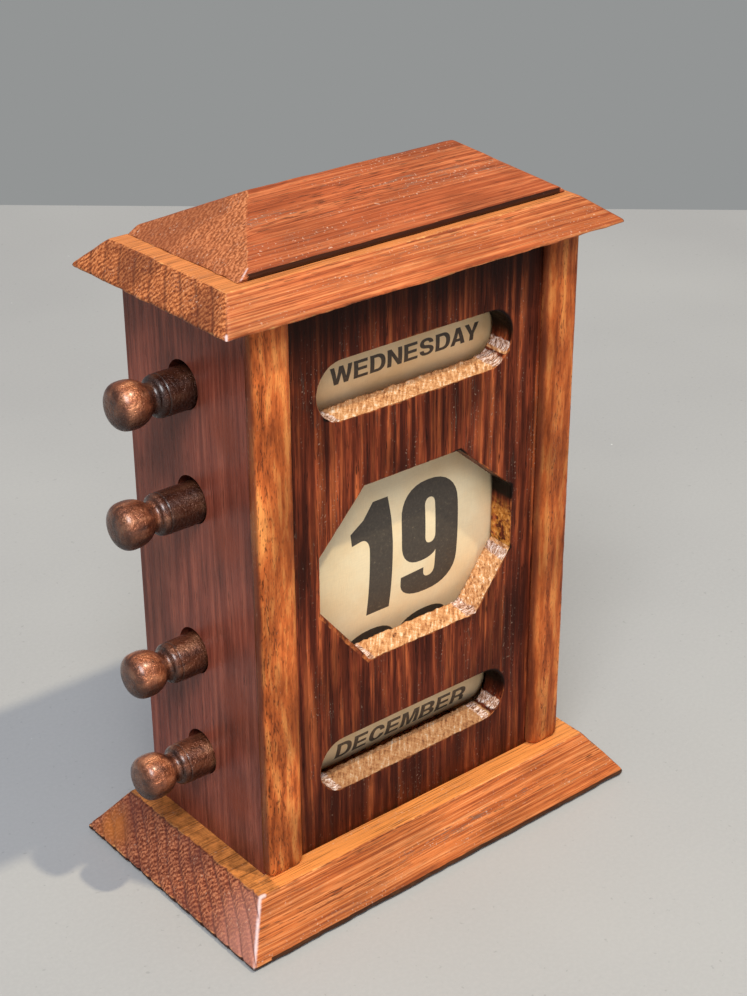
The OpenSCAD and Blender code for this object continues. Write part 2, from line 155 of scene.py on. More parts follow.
class Net:
    """Adds nodes to one node tree. Each word returns the socket that its node puts out."""

    def __init__(self, tree):
        self.tree = tree

    def node(self, kind, inputs=(), out=0, **options):
        made = self.tree.nodes.new(kind)
        for key, value in options.items():
            setattr(made, key, value)
        for key, value in dict(inputs).items():
            if isinstance(value, bpy.types.NodeSocket):
                self.tree.links.new(value, made.inputs[key])
            else:
                made.inputs[key].default_value = value
        return made.outputs[out]

    def put(self, value, socket):
        self.tree.links.new(value, socket)

    def group(self, tree, place, **values):
        """A node that stands for a whole group, fed with a place and other numbers."""
        made = self.node("ShaderNodeGroup", {}, node_tree=tree).node
        self.put(place, made.inputs["Vector"])
        for key, value in values.items():
            made.inputs[key].default_value = value
        return made.outputs

    def maths(self, operation, a, b=0.0):
        return self.node("ShaderNodeMath", {0: a, 1: b}, operation=operation)

    def plus(self, a, b):
        return self.maths("ADD", a, b)

    def minus(self, a, b):
        return self.maths("SUBTRACT", a, b)

    def times(self, a, b):
        return self.maths("MULTIPLY", a, b)

    def attribute(self, name):
        return self.node("ShaderNodeAttribute", out=2, attribute_name=name)

    def split(self, vector):
        """The x, y and z of a vector."""
        return self.node("ShaderNodeSeparateXYZ", {0: vector}).node.outputs

    def facing(self):
        """The x, y and z of the direction that the surface faces."""
        return self.split(self.node("ShaderNodeTexCoord", out=1))

    def vector(self, operation, a, b=(0.0, 0.0, 0.0)):
        out = 1 if operation in ("LENGTH", "DOT_PRODUCT") else 0
        return self.node("ShaderNodeVectorMath", {0: a, 1: b}, out, operation=operation)

    def noise(self, place, stretch, detail=2.0, roughness=0.5, out=0):
        """Noise with cells of 1/stretch mm along each axis; one number stands for all three."""
        if isinstance(stretch, float):
            stretch = (stretch, stretch, stretch)
        scaled = self.vector("MULTIPLY", place, stretch)
        return self.node("ShaderNodeTexNoise", {"Vector": scaled, "Scale": 1.0,
                         "Detail": detail, "Roughness": roughness}, out)

    def ease(self, value, low, high, start=0.0, end=1.0):
        """Smooth step from start to end while value goes from low to high."""
        return self.node("ShaderNodeMapRange", {"Value": value, "From Min": low,
                         "From Max": high, "To Min": start, "To Max": end},
                         interpolation_type="SMOOTHSTEP")

    def mix(self, share, a, b, blend="MIX"):
        """Colour b over a. Three plain numbers are a screen colour."""
        a, b = [paint(*c) if isinstance(c, tuple) and len(c) == 3 else c for c in (a, b)]
        return self.node("ShaderNodeMix", {0: share, 6: a, 7: b}, 2, data_type="RGBA",
                         blend_type=blend)

    def shade(self, colour, grey):
        """A colour made darker or lighter by a factor."""
        factor = self.node("ShaderNodeCombineColor", {0: grey, 1: grey, 2: grey})
        return self.mix(1.0, colour, factor, "MULTIPLY")

    def ramp(self, value, *stops):
        """Colour ramp through (place, screen colour) stops."""
        out = self.node("ShaderNodeValToRGB", {0: value})
        row = out.node.color_ramp.elements
        while len(row) < len(stops):
            row.new(0.5)
        for element, (place, colour) in zip(row, stops):
            element.position = place
            element.color = paint(*colour)
        return out

    def bump(self, shader, height, strength, distance, **inputs):
        """Relief from a height; distance is in metres."""
        self.put(self.node("ShaderNodeBump", {"Height": height, "Strength": strength,
                           "Distance": distance, **inputs}), shader["Normal"])


def new_group(name, inputs, outputs):
    """An empty node group with named sockets, as (tree, its inputs, its outputs)."""
    tree = bpy.data.node_groups.new(name, "ShaderNodeTree")
    kinds = {"v": "NodeSocketVector", "f": "NodeSocketFloat", "c": "NodeSocketColor"}
    for label, kind, value in inputs:
        socket = tree.interface.new_socket(label, in_out="INPUT", socket_type=kinds[kind])
        if value is not None:
            socket.default_value = value
    for label, kind in outputs:
        tree.interface.new_socket(label, in_out="OUTPUT", socket_type=kinds[kind])
    return tree, tree.nodes.new("NodeGroupInput").outputs, tree.nodes.new("NodeGroupOutput").inputs


def new_material(name, roughness=0.5):
    """A material with one Principled BSDF, as (material, net, shader inputs, place in mm)."""
    material = bpy.data.materials.new(name)
    material.use_nodes = True
    net = Net(material.node_tree)
    shader = material.node_tree.nodes["Principled BSDF"].inputs
    shader["Roughness"].default_value = roughness
    place = net.node("ShaderNodeTexCoord", out=3)
    return material, net, shader, net.vector("MULTIPLY", place, (1000.0, 1000.0, 1000.0))


# %% [markdown]
# ## Oak as a solid
# Veneer is a picture on a surface, but this calendar is solid oak: its end grain and its long
# grain belong together. So the figure is worked out in space. Growth rings are cylinders round
# a pith that lies far outside the board, and pores and fibres are noise that is drawn out
# along the grain. One group does it for every board, each with its own pith and ring width.

# %% The oak figure
figure, g_in, g_out = new_group(
    "oak figure",
    [("Vector", "v", None), ("Ring", "f", 3.0), ("Sway", "f", 3.0), ("Streak", "f", 0.8),
     ("Reach", "f", 0.012)],
    [("Rings", "f"), ("Streaks", "f"), ("Pores", "f"), ("Fibres", "f"), ("Clouds", "f")])
net = Net(figure)
place = g_in["Vector"]
drift = net.vector("SUBTRACT", net.noise(place, (0.03, 0.03, 0.009), 2.0, out=1), (0.5, 0.5, 0.5))
swayed = net.vector("ADD", place, net.vector("MULTIPLY", drift, net.node(
    "ShaderNodeCombineXYZ", {0: g_in["Sway"], 1: g_in["Sway"]})))
radius = net.vector("LENGTH", net.vector("MULTIPLY", swayed, (1.0, 1.0, 0.0)))
turn = net.maths("FRACT", net.maths("DIVIDE", radius, g_in["Ring"]))
late = net.times(net.ease(turn, 0.15, 0.85), net.ease(turn, 1.0, 0.88))
net.put(late, g_out["Rings"])
stretch = net.node("ShaderNodeCombineXYZ",
                   {0: g_in["Streak"], 1: g_in["Streak"], 2: g_in["Reach"]})
net.put(net.noise(swayed, stretch, 4.0, 0.62), g_out["Streaks"])
early = net.ease(turn, 0.6, 0.1, 0.4, 1.0)
stretch = net.node("ShaderNodeCombineXYZ",
                   {0: 3.2, 1: 3.2, 2: net.times(g_in["Reach"], 10.0)})
pore = net.ease(net.noise(swayed, stretch, 2.0, 0.55), 0.55, 0.64)
net.put(net.times(pore, early), g_out["Pores"])
net.put(net.noise(swayed, (2.6, 2.6, 0.04), 3.0, 0.65), g_out["Fibres"])
net.put(net.noise(place, (0.06, 0.06, 0.03), 3.0, 0.55), g_out["Clouds"])
print("oak figure:", len(figure.nodes), "nodes")

# %% [markdown]
# Where the saw crossed the grain, the rings of early wood sank below the late wood, and the
# rays between them stand like the strands of a rope. The boards carry two attributes for it:
# turns counts the rings, and strand is a length in mm along them. Slanting strokes that meet
# in the middle of a ring are a sine of the strand, shifted by the distance from that middle.

# %% Rope-like end grain
rope, g_in, g_out = new_group(
    "rope grain", [("Vector", "v", None), ("Pitch", "f", 1.15), ("Slant", "f", 1.0)],
    [("Tone", "f"), ("Groove", "f"), ("Patch", "f")])
net = Net(rope)
turns = net.attribute("turns")
strand = net.attribute("strand")
fold = net.maths("ABSOLUTE", net.minus(net.maths("FRACT", turns), 0.5))
shake = net.noise(g_in["Vector"], 0.55, 3.0, 0.6)
phase = net.plus(net.maths("DIVIDE", strand, g_in["Pitch"]), net.times(fold, g_in["Slant"]))
phase = net.plus(phase, net.times(shake, 2.2))
stroke = net.maths("SINE", net.times(phase, 2 * math.pi))
grit = net.noise(g_in["Vector"], 1.5, 3.0, 0.65)
tone = net.plus(net.times(stroke, 0.1), grit)
net.put(tone, g_out["Tone"])
uneven_edge = net.plus(fold, net.times(net.minus(grit, 0.5), 0.35))
groove = net.times(net.ease(uneven_edge, 0.36, 0.5), net.ease(shake, 0.32, 0.52))
net.put(groove, g_out["Groove"])
net.put(net.noise(g_in["Vector"], 0.05, 3.0, 0.6), g_out["Patch"])
print("rope grain:", len(rope.nodes), "nodes")

# %% [markdown]
# Stain rubs off the arrises first. Pieces that need it carry the attribute edge, that is 1 on an
# arris and falls off beside it; chalk is the same for the few arrises that are rubbed white. One
# more attribute marks darker places: partly stain that gathered there, partly painted shade.

# %% Worn edges, gathered stain and painted shade
wear, g_in, g_out = new_group(
    "worn edge", [("Vector", "v", None), ("Amount", "f", 0.5)],
    [("Mask", "f"), ("Chalk", "f"), ("Specks", "f"), ("Groups", "f"), ("Grime and shade", "f")])
net = Net(wear)
patchy = net.noise(g_in["Vector"], 0.35, 4.0, 0.7)
need = net.minus(1.5, net.plus(g_in["Amount"], patchy))
net.put(net.ease(net.minus(net.attribute("edge"), need), 0.0, 0.4), g_out["Mask"])
dusty = net.noise(g_in["Vector"], (1.1, 1.1, 0.9), 4.0, 0.7)
chalk = net.plus(net.attribute("chalk"), net.times(dusty, 0.5))
net.put(net.ease(chalk, 0.55, 1.35, 0.0, 0.85), g_out["Chalk"])
# Darker places: partly stain, partly painted shade at feet, creases and window cheeks.
grime = net.plus(net.attribute("grime"), net.times(patchy, 0.5))
net.put(net.ease(grime, 0.6, 1.0, 0.0, 0.92), g_out["Grime and shade"])
dots = net.ease(net.noise(g_in["Vector"], (2.0, 2.0, 1.4), 2.0, 0.4), 0.64, 0.70)
groups = net.ease(net.noise(g_in["Vector"], (0.3, 0.3, 0.022), 4.0, 0.6), 0.5, 0.62)
net.put(groups, g_out["Groups"])
net.put(net.times(dots, groups), g_out["Specks"])
print("worn edge:", len(wear.nodes), "nodes")


# %% [markdown]
# A stained board takes three tones, dark, body and light. Shellac over it gives a satin gloss
# that the open pores break. End grain drinks more stain, so it has three tones of its own.

# %% One finish for every oak board
def spotted(net, flat, patch, colour, spots):
    """Tinted spots: each one fades out over its reach in mm, with an uneven border."""
    for place, reach, share, tint in spots:
        away = net.vector("LENGTH", net.vector("SUBTRACT", flat, place))
        away = net.plus(away, net.times(patch, reach))
        colour = net.mix(net.ease(away, reach * 1.5, reach * 0.7, 0.0, share), colour, tint)
    return colour


def oak(name, along, pith, tones, ring=3.0, sway=3.0, streak=0.8, reach=0.012,
        steps=(0.36, 0.5, 0.64), ring_share=0.3, lines=0.3, pores=0.5, ends=None,
        worn=(235, 165, 100), worn_share=0.0, rough=(0.3, 0.45), gloss=0.2, bump=0.25,
        clouds=0.4, specks=0.0, top=None, sides=None, spots=()):
    """Stained oak with its grain along "x" or "z" and its pith at two distances in mm.
    Returns the material, its net and its shader, so that a board can add more."""
    material, net, shader, flat = new_material(name)
    turned = net.node("ShaderNodeMapping", {"Vector": flat, "Location": (*pith, 0.0),
                      "Rotation": (0.0, math.radians(-90) if along == "x" else 0.0, 0.0)})
    rings, streaks, open_pores, fibres, mottle = net.group(
        figure, turned, Ring=ring, Sway=sway, Streak=streak, Reach=reach)
    dark, body, light = tones
    colour = net.ramp(streaks, (steps[0], dark), (steps[1], body), (steps[2], light))
    colour = net.mix(net.times(rings, ring_share), colour, dark)
    hair = net.ease(fibres, 0.52, 0.66, 0.0, lines)
    colour = net.mix(hair, colour, tinted(dark, 0.5))
    relief = net.minus(net.times(fibres, 0.5), net.times(open_pores, 0.6))
    shade = net.ease(mottle, 0.35, 0.65, 1.0 - clouds * 0.45, 1.0 + clouds * 0.35)
    colour = net.shade(colour, shade)
    colour = net.mix(net.times(open_pores, pores), colour, tinted(dark, 0.4))
    colour = spotted(net, flat, mottle, colour, spots)
    if ends is not None:
        is_end = net.ease(net.maths("ABSOLUTE", net.facing()[0]), 0.25, 0.45)
        tone, groove, patch = net.group(rope, flat)
        low, mid, high, deep = ends["tones"]
        end_colour = net.ramp(tone, (0.34, low), (0.5, mid), (0.68, high))
        end_colour = net.mix(net.ease(patch, 0.48, 0.62, 0.0, 0.55), end_colour, deep)
        end_colour = net.mix(net.times(groove, ends["groove"]), end_colour, deep)
        end_colour = spotted(net, flat, patch, end_colour, ends.get("spots", []))
        colour = net.mix(is_end, colour, end_colour)
        ridge = net.minus(net.times(tone, 1.2), net.times(groove, 0.6))
        relief = net.node("ShaderNodeMix", {0: is_end, 2: relief, 3: ridge})
    # Painted light: faces that turn up take the top tone.
    if top is not None:
        lit = net.plus(net.facing()[2], net.times(mottle, 0.2))
        grain = net.ramp(fibres, (0.36, tinted(top, 0.55)), (0.44, tinted(top, 0.86)), (0.6, top))
        colour = net.mix(net.ease(lit, 1.0, 1.08, 0.0, 0.85), colour, grain)
    # Painted shade: faces that turn left or right take the side tone.
    if sides is not None:
        across = net.ease(net.maths("ABSOLUTE", net.facing()[0]), 0.6, 0.98, 0.0, 0.75)
        colour = net.mix(across, colour, sides)
    mask, chalk, dots, dusty, grime = net.group(wear, turned, Amount=worn_share)
    colour = net.mix(mask, colour, worn)
    if specks:
        colour = net.mix(net.times(dusty, 0.35 * specks), colour, tinted(dark, 0.8))
        dust = net.times(net.times(open_pores, dusty), 0.3)
        dust = net.times(net.maths("MAXIMUM", dust, dots), specks)
        colour = net.mix(dust, colour, (240, 204, 176))
    # Near-black over the marked places: partly stain, partly painted shade.
    colour = net.mix(grime, colour, (34, 17, 11))
    colour = net.mix(chalk, colour, (235, 212, 210))
    net.put(colour, shader["Base Color"])
    dull = net.plus(fibres, net.times(open_pores, 0.3))
    net.put(net.ease(dull, 0.35, 0.8, *rough), shader["Roughness"])
    shader["Specular IOR Level"].default_value = gloss
    net.bump(shader, relief, bump, 0.0005)
    return material, net, shader


# %% [markdown]
# The base is the lightest board, and the front board the darkest and most striped one. The
# corner strips share one finish, but the right one is stained darker: it is told apart by its
# place along x.

# %% The oak boards of this calendar
# Base and cornice have a top tone, painted light on their faces that turn up.
base_oak = oak("base oak", "x", (400.0, 60.0), ((150, 72, 36), (200, 110, 56), (232, 148, 90)),
               ring=7.0, sway=2.0, streak=1.9, reach=0.02, ring_share=0.15, lines=0.4,
               pores=0.7, specks=0.4, bump=0.35, top=(248, 156, 80), worn=(248, 174, 104),
               worn_share=0.3,
               ends={"tones": ((100, 46, 30), (152, 82, 54), (206, 130, 90), (104, 54, 46)),
                     "groove": 0.8, "spots": [((-66.0, -37.0, 3.0), 24.0, 0.7, (184, 124, 108)),
                                              ((-64.0, 29.0, 5.0), 9.0, 0.6, (206, 120, 50))]})[0]
cornice_oak = oak("cornice oak", "x", (300.0, 60.0), ((156, 74, 40), (194, 104, 58),
                  (224, 142, 88)), ring=7.0, sway=2.0, streak=1.7, reach=0.02, ring_share=0.12,
                  lines=0.35, pores=0.7, specks=0.4, bump=0.3, top=(234, 146, 82),
                  worn=(250, 184, 112), worn_share=0.25,
                  ends={"tones": ((116, 58, 32), (176, 98, 54), (222, 142, 88), (96, 48, 32)),
                        "groove": 0.7})[0]
roof_oak = oak("roof oak", "x", (300.0, 90.0), ((144, 68, 38), (176, 90, 52), (206, 120, 74)),
               ring=5.0, sway=2.0, streak=1.7, reach=0.02, ring_share=0.15, lines=0.35,
               pores=0.7, specks=0.5, bump=0.3, worn=(235, 165, 110), worn_share=0.2,
               ends={"tones": ((136, 74, 42), (178, 102, 62), (212, 136, 90), (130, 70, 44)),
                     "groove": 0.0})[0]
# The reddish spots beside the knob holes are partly painted reflections of the knobs, partly wear
# from fingers.
side_oak = oak("side oak", "z", (160.0, 420.0), ((100, 46, 34), (130, 66, 50), (160, 88, 66)),
               ring=5.0, streak=0.6, reach=0.02, sway=4.0, steps=(0.3, 0.5, 0.7),
               ring_share=0.12, lines=0.2, rough=(0.26, 0.4), clouds=0.6, gloss=0.2,
               spots=[((-52.0, -13.0, z), 10.0, 0.55, (134, 58, 32))
                      for z in (139.0, 109.0, 64.0, 33.0)])[0]
# The strips' side tone is painted shade on their faces that turn left or right.
strip_oak, net, shader = oak("strip oak", "z", (90.0, 210.0), ((146, 68, 30), (206, 106, 50),
                             (240, 152, 80)), ring=3.4, streak=0.42, reach=0.055, lines=0.0,
                             ring_share=0.25, clouds=0.8, pores=0.75, worn=(225, 140, 70),
                             specks=0.1, gloss=0.12, sides=(96, 48, 34))
across = net.split(net.node("ShaderNodeTexCoord", out=3))[0]
darker_right = net.mix(net.ease(across, 0.04, 0.045, 0.0, 0.35),
                       shader["Base Color"].links[0].from_socket, (88, 38, 18))
net.put(darker_right, shader["Base Color"])
panel_oak, net, shader = oak("panel oak", "z", (500.0, 160.0), ((68, 26, 15), (128, 56, 32),
                             (198, 104, 57)), ring=3.1, streak=0.5, reach=0.022, sway=2.5,
                             steps=(0.4, 0.53, 0.68), ring_share=0.55, lines=0.3, pores=0.8,
                             clouds=0.9, gloss=0.08, rough=(0.35, 0.5), worn=(222, 130, 70),
                             specks=0.25, worn_share=0.1)
print("oak finishes:", [m.name for m in bpy.data.materials if "oak" in m.name])

# %% [markdown]
# The lower cheeks of the windows were never stained. Sawn across the grain they show pale, dry
# wood with a diamond pattern of tool marks. The attribute raw marks them.

# %% Bare cheeks of the windows
colour, normal = [shader[key].links[0].from_socket for key in ("Base Color", "Normal")]
flat = net.vector("MULTIPLY", net.node("ShaderNodeTexCoord", out=3), (1000.0, 1000.0, 1000.0))
z = net.split(flat)[2]
mark = net.noise(flat, 0.5, 3.0, 0.6)
grit = net.times(net.noise(flat, 2.2, 4.0, 0.8), 0.25)
for angle, share in ((0.75, 0.55), (-0.6, 0.2)):
    slanted = net.node("ShaderNodeMapping", {"Vector": flat, "Rotation": (0.0, 0.0, angle)})
    grit = net.plus(grit, net.times(net.noise(slanted, (1.5, 0.22, 1.0), 4.0, 0.6), share))
pale = net.ramp(grit, (0.36, (84, 50, 34)), (0.42, (170, 112, 72)), (0.48, (206, 146, 96)),
                (0.55, (232, 178, 126)), (0.62, (252, 230, 204)))
is_raw = net.ease(net.plus(net.attribute("raw"), net.times(mark, 0.4)), 0.45, 0.8)
cracks = net.ramp(net.noise(flat, (0.7, 2.2, 0.7), 4.0, 0.8), (0.36, (52, 30, 20)),
                  (0.48, (190, 140, 110)), (0.62, (250, 236, 228)))
is_silver = net.ease(net.plus(net.attribute("silver"), net.times(mark, 0.7)), 0.75, 1.0)
# Painted shadow of the cornice over the top of the board, and a darker tone towards the bottom.
colour = net.mix(net.ease(z, 147.0, 167.0, 0.0, 0.85), colour, (34, 12, 6))
colour = net.mix(net.ease(z, 80.0, 30.0, 0.0, 0.4), colour, (58, 20, 13))
# Near-black painted shade on the window cheeks that turn away from the lamp.
colour = net.mix(net.ease(net.attribute("grime"), 0.1, 0.6, 0.0, 0.92), colour, (16, 7, 5))
side_cut = net.times(net.attribute("sawn"), net.ease(mark, 0.4, 0.52))
colour = net.mix(side_cut, colour, net.ramp(grit, (0.34, (110, 54, 20)),
                 (0.5, (214, 138, 58)), (0.62, (246, 186, 104))))
pale = net.mix(net.ease(z, 60.0, 40.0, 0.0, 0.45), pale, (120, 84, 60))
colour = net.mix(is_silver, net.mix(is_raw, colour, pale), cracks)
net.put(colour, shader["Base Color"])
rugged = net.times(grit, net.maths("MAXIMUM", is_raw, is_silver))
net.bump(shader, rugged, 0.7, 0.0009, Normal=normal)
print("panel oak:", len(panel_oak.node_tree.nodes), "nodes")

# %% [markdown]
# ## Plainer finishes
# The knobs are turned from a close wood and have the darkest shellac. Inside the case the
# wood is bare. The band is glazed linen, the names are printed on paper, and both have yellowed.

# %% Turned and bare wood
knob_wood, net, shader, flat = new_material("knob wood")
tone = net.noise(flat, (0.10, 0.35, 0.35), 4.0, 0.6)
colour = net.ramp(tone, (0.32, (96, 50, 31)), (0.52, (176, 104, 68)), (0.72, (240, 164, 118)))
stain = net.ease(net.noise(flat, 0.5, 3.0, 0.65), 0.55, 0.68)
colour = net.mix(net.times(stain, 0.55), colour, (40, 20, 14))
leftwards, _, upwards = net.facing()
# Painted shade: faces that turn left and faces that turn down are darker.
colour = net.mix(net.ease(leftwards, -0.3, -0.85, 0.0, 0.62), colour, (46, 27, 20))
colour = net.mix(net.ease(upwards, 0.4, -0.45, 0.0, 0.85), colour, (36, 18, 12))
x, _, z = net.split(flat)
# Painted shade on the rods behind the heads, deeper for the knobs higher up under the cornice.
shank_shade = net.times(net.ease(x, -65.0, -61.5), net.ease(z, 40.0, 140.0, 0.4, 0.85))
colour = net.mix(shank_shade, colour, (40, 17, 11))
net.put(colour, shader["Base Color"])
peel = net.noise(flat, 1.1, 3.0, 0.65)
net.put(net.ease(peel, 0.3, 0.7, 0.24, 0.42), shader["Roughness"])
net.put(net.ease(upwards, -0.3, 0.5, 0.1, 1.0), shader["Coat Weight"])
shader["Metallic"].default_value = 0.45
shader["Coat Roughness"].default_value = 0.26
net.bump(shader, peel, 1.0, 0.0006)

bare_wood, net, shader, flat = new_material("bare wood", 0.75)
grain = net.noise(flat, (0.05, 0.9, 0.9), 4.0, 0.6)
net.put(net.ramp(grain, (0.3, (176, 134, 92)), (0.7, (222, 188, 142))), shader["Base Color"])
print("turned and bare wood:", knob_wood.name, "and", bare_wood.name)

# %% [markdown]
# A sheet needs little: clouds of yellow, the crossing threads of its weave, and almost no gloss.
# Printed ink is thin where the sheet's high spots have rubbed it. Metals that nobody polishes
# change between a bright tone and a tarnished one, and are duller where they are tarnished.

# %% Linen, paper, felt and metals
def sheet_material(name, pale, dark, weave):
    """Yellowed sheet: clouds between two tones, and threads crossing as noise drawn out
    along x and along z."""
    material, net, shader, flat = new_material(name, 0.6)
    clouds = net.noise(flat, 0.06, 4.0, 0.6)
    colour = net.ramp(clouds, (0.35, dark), (0.6, pale))
    threads = net.plus(net.noise(flat, (0.5, 4.0, 4.0), 1.0), net.noise(flat, (4.0, 0.5, 0.5), 1.0))
    net.put(net.shade(colour, net.ease(threads, 0.7, 1.3, 1.0 - weave, 1.0)),
            shader["Base Color"])
    net.bump(shader, threads, 0.15, 0.0002)
    return material


linen = sheet_material("linen", (255, 232, 188), (251, 220, 170), 0.05)
paper = sheet_material("paper", (255, 228, 180), (242, 208, 154), 0.04)


def print_ink(name, *tones):
    """Matt ink worn thin here and there, in three tones."""
    material, net, shader, flat = new_material(name, 0.55)
    rubbed = net.noise(flat, 1.4, 4.0, 0.7)
    net.put(net.ramp(rubbed, *zip((0.3, 0.62, 0.78), tones)), shader["Base Color"])
    return material


ink = print_ink("printing ink", (62, 54, 46), (80, 70, 58), (140, 124, 100))
faded = print_ink("faded ink", (84, 74, 62), (112, 98, 80), (180, 156, 124))

felt, net, shader, flat = new_material("green felt", 0.95)
fluff = net.noise(flat, 1.5, 5.0, 0.7)
net.put(net.ramp(fluff, (0.3, (18, 44, 28)), (0.7, (40, 78, 50))), shader["Base Color"])


def metal(name, pale, dark):
    """Aged metal: noise mixes the bright tone with the tarnished one."""
    material, net, shader, flat = new_material(name)
    tarnish = net.noise(flat, 0.7, 4.0, 0.65)
    net.put(net.ramp(tarnish, (0.35, dark), (0.65, pale)), shader["Base Color"])
    net.put(net.ease(tarnish, 0.3, 0.7, 0.5, 0.28), shader["Roughness"])
    shader["Metallic"].default_value = 1.0
    return material


brass = metal("old brass", (205, 165, 95), (120, 88, 48))
steel = metal("plain steel", (185, 185, 182), (105, 100, 95))
print("finishes so far:", len(bpy.data.materials))

# %% [markdown]
# The pieces inside and behind the case are plain solids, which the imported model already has. They
# keep their shape and only get a finish.

# %% Finishes for the nodes that keep their shape
kept = {
    side_oak: ["left_side", "right_side", "back_panel"],
    bare_wood: ["glue_blocks", "date_platen", "day_drum", "month_drum", "day_collar",
                "upper_date_collar", "lower_date_collar", "month_collar"],
    linen: ["upper_band_roll", "lower_band_roll"],
    felt: ["base_baize"], brass: ["back_screws"],
    steel: ["base_screws", "day_pivot", "upper_date_pivot", "lower_date_pivot", "month_pivot"]}
for material, names in kept.items():
    for name in names:
        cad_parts[name].data.materials.clear()
        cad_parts[name].data.materials.append(material)
print("kept nodes:", sum(map(len, kept.values())))

# %% [markdown]
# ## Softened boards
# The base, the cornice and the roof block are convex, so each is the space behind a set of
# planes. Sanding rounds their arrises a little. A smooth maximum does the same: it follows one
# plane where that plane alone is near, and cuts the corner where two or three meet.

# %% Rounding by a smooth maximum
def soften(points, planes, radius):
    """Moves points onto the surface where r ln(sum(exp(distance/r))) is zero, by Newton steps
    along its slope. Returns the points, and how near each lies to an arris."""
    normals, offsets = planes[:, :3], planes[:, 3]
    for _ in range(8):
        distance = points @ normals.T - offsets
        top = distance.max(axis=1, keepdims=True)
        weight = np.exp((distance - top) / radius[:, None])
        level = top[:, 0] + radius * np.log(weight.sum(axis=1))
        slope = (weight @ normals) / weight.sum(axis=1, keepdims=True)
        points = points - (level / (slope ** 2).sum(axis=1))[:, None] * slope
    second = np.sort(points @ normals.T - offsets, axis=1)[:, -2]
    return points, np.exp(np.minimum(second, 0.0) / 0.7)


def slab(levels, counts, across, sand, wobble, seed, ring=(0.0, 1.0, 4.0, 0.0)):
    """A board whose every height has a rectangular section. levels are rows of
    z, x0, x1, y0, y1 from the bottom up; between them the rectangles change evenly.
    ring gives the direction across the growth rings (y, z), their spacing, and how deep the
    early wood has sunk at the ends."""
    levels = np.array(levels, dtype=float)
    ease = [np.linspace(0, 1, n + 1)[:-1] for n in counts]
    ease = [t - 0.75 * np.sin(2 * np.pi * t) / (2 * np.pi) for t in ease]
    rows = [low + t[:, None] * (high - low)
            for low, high, t in zip(levels[:-1], levels[1:], ease)]
    rows = np.concatenate(rows + [levels[-1:]])
    side, end = [np.linspace(0, 1, n + 1)[:-1] for n in across]
    side = side - 0.8 * np.sin(2 * np.pi * side) / (2 * np.pi)
    end = end - 0.5 * np.sin(2 * np.pi * end) / (2 * np.pi)
    x = np.concatenate([side, np.ones_like(end), 1 - side, np.zeros_like(end)])
    y = np.concatenate([np.zeros_like(side), end, np.ones_like(side), 1 - end])
    z, x0, x1, y0, y1 = rows.T[:, :, None]
    grid = np.stack([x0 + x * (x1 - x0), y0 + y * (y1 - y0), z + 0 * x], axis=2)
    planes = [[0, 0, -1, -levels[0, 0]], [0, 0, 1, levels[-1, 0]]]
    for a, b in zip(levels[:-1], levels[1:]):
        rise = b[0] - a[0]
        for axis, column, sign in ((0, 1, -1), (0, 2, 1), (1, 3, -1), (1, 4, 1)):
            if rise > 0:
                normal = np.zeros(3)
                normal[axis] = sign * rise
                normal[2] = -sign * (b[column] - a[column])
                normal /= np.linalg.norm(normal)
                corner = np.zeros(3)
                corner[axis], corner[2] = a[column], a[0]
                planes.append([*normal, normal @ corner])
    planes = np.unique(np.round(planes, 6), axis=0)
    flat = grid.reshape(-1, 3)
    radius = sand * (1.0 + 0.7 * uneven(flat, 9.0, seed) + 0.5 * uneven(flat, 2.5, seed + 1))
    points, edge = soften(flat, planes, np.maximum(radius, 0.05))
    out = points - points.mean(axis=0)
    out /= np.linalg.norm(out, axis=1, keepdims=True)
    lift = wobble * uneven(flat, 16.0, seed + 2) + 0.4 * wobble * uneven(flat, 4.0, seed + 3)
    points = points + (lift - wobble)[:, None] * out * [0.3, 0.3, 1.0]
    sway = 0.9 * uneven(flat, 11.0, seed + 4)
    turns = (flat[:, 1] * ring[0] + flat[:, 2] * ring[1] + sway) / ring[2]
    strand = flat[:, 1] * ring[1] - flat[:, 2] * ring[0]
    line = np.abs(turns - np.floor(turns) - 0.5)
    is_end = np.clip((np.abs(flat[:, 0]) - levels[-1, 2] + 5.0) / 3.0, 0, 1)
    sunk = ring[3] * np.clip((line - 0.3) / 0.2, 0, 1) ** 2 * is_end
    sunk = sunk * (1.0 + 0.5 * uneven(flat, 5.0, seed + 5))
    points = points - sunk[:, None] * np.sign(flat[:, :1]) * [1, 0, 0]
    values = {"edge": edge, "turns": turns, "strand": strand}
    return points, closed_tube(len(rows), len(x)), values


def rubbed_white(points, lines, reach):
    """exp(-(distance/reach)^2) for the nearest of some straight lines between two ends."""
    least = np.full(len(points), 1e9)
    for a, b in np.array(lines, dtype=float):
        along = b - a
        t = np.clip((points - a) @ along / (along @ along), 0, 1)
        least = np.minimum(least, np.linalg.norm(points - a - t[:, None] * along, axis=1))
    return np.exp(-(least / reach) ** 2)


def oak_piece(name, material, shape, chalk, grime):
    """A piece of the case from a slab's points, faces and attributes."""
    points, faces, values = shape
    return make_piece(name, points, faces, material, "case", "oak", merge=0.001,
                      chalk=chalk, grime=grime, **values)


# %% [markdown]
# The base and the cornice are the same kind of board, a thin upright edge under four slopes.
# The roof block's end slopes start right at its bottom, and its sections close to a ridge line.

# %% Base, cornice and roof block
def rectangle(z, x0, x1, y0, y1, inset=0.0):
    """A section for slab: its height, and its sides moved inwards by inset."""
    return [z, x0 + inset, x1 - inset, y0 + inset, y1 - inset]


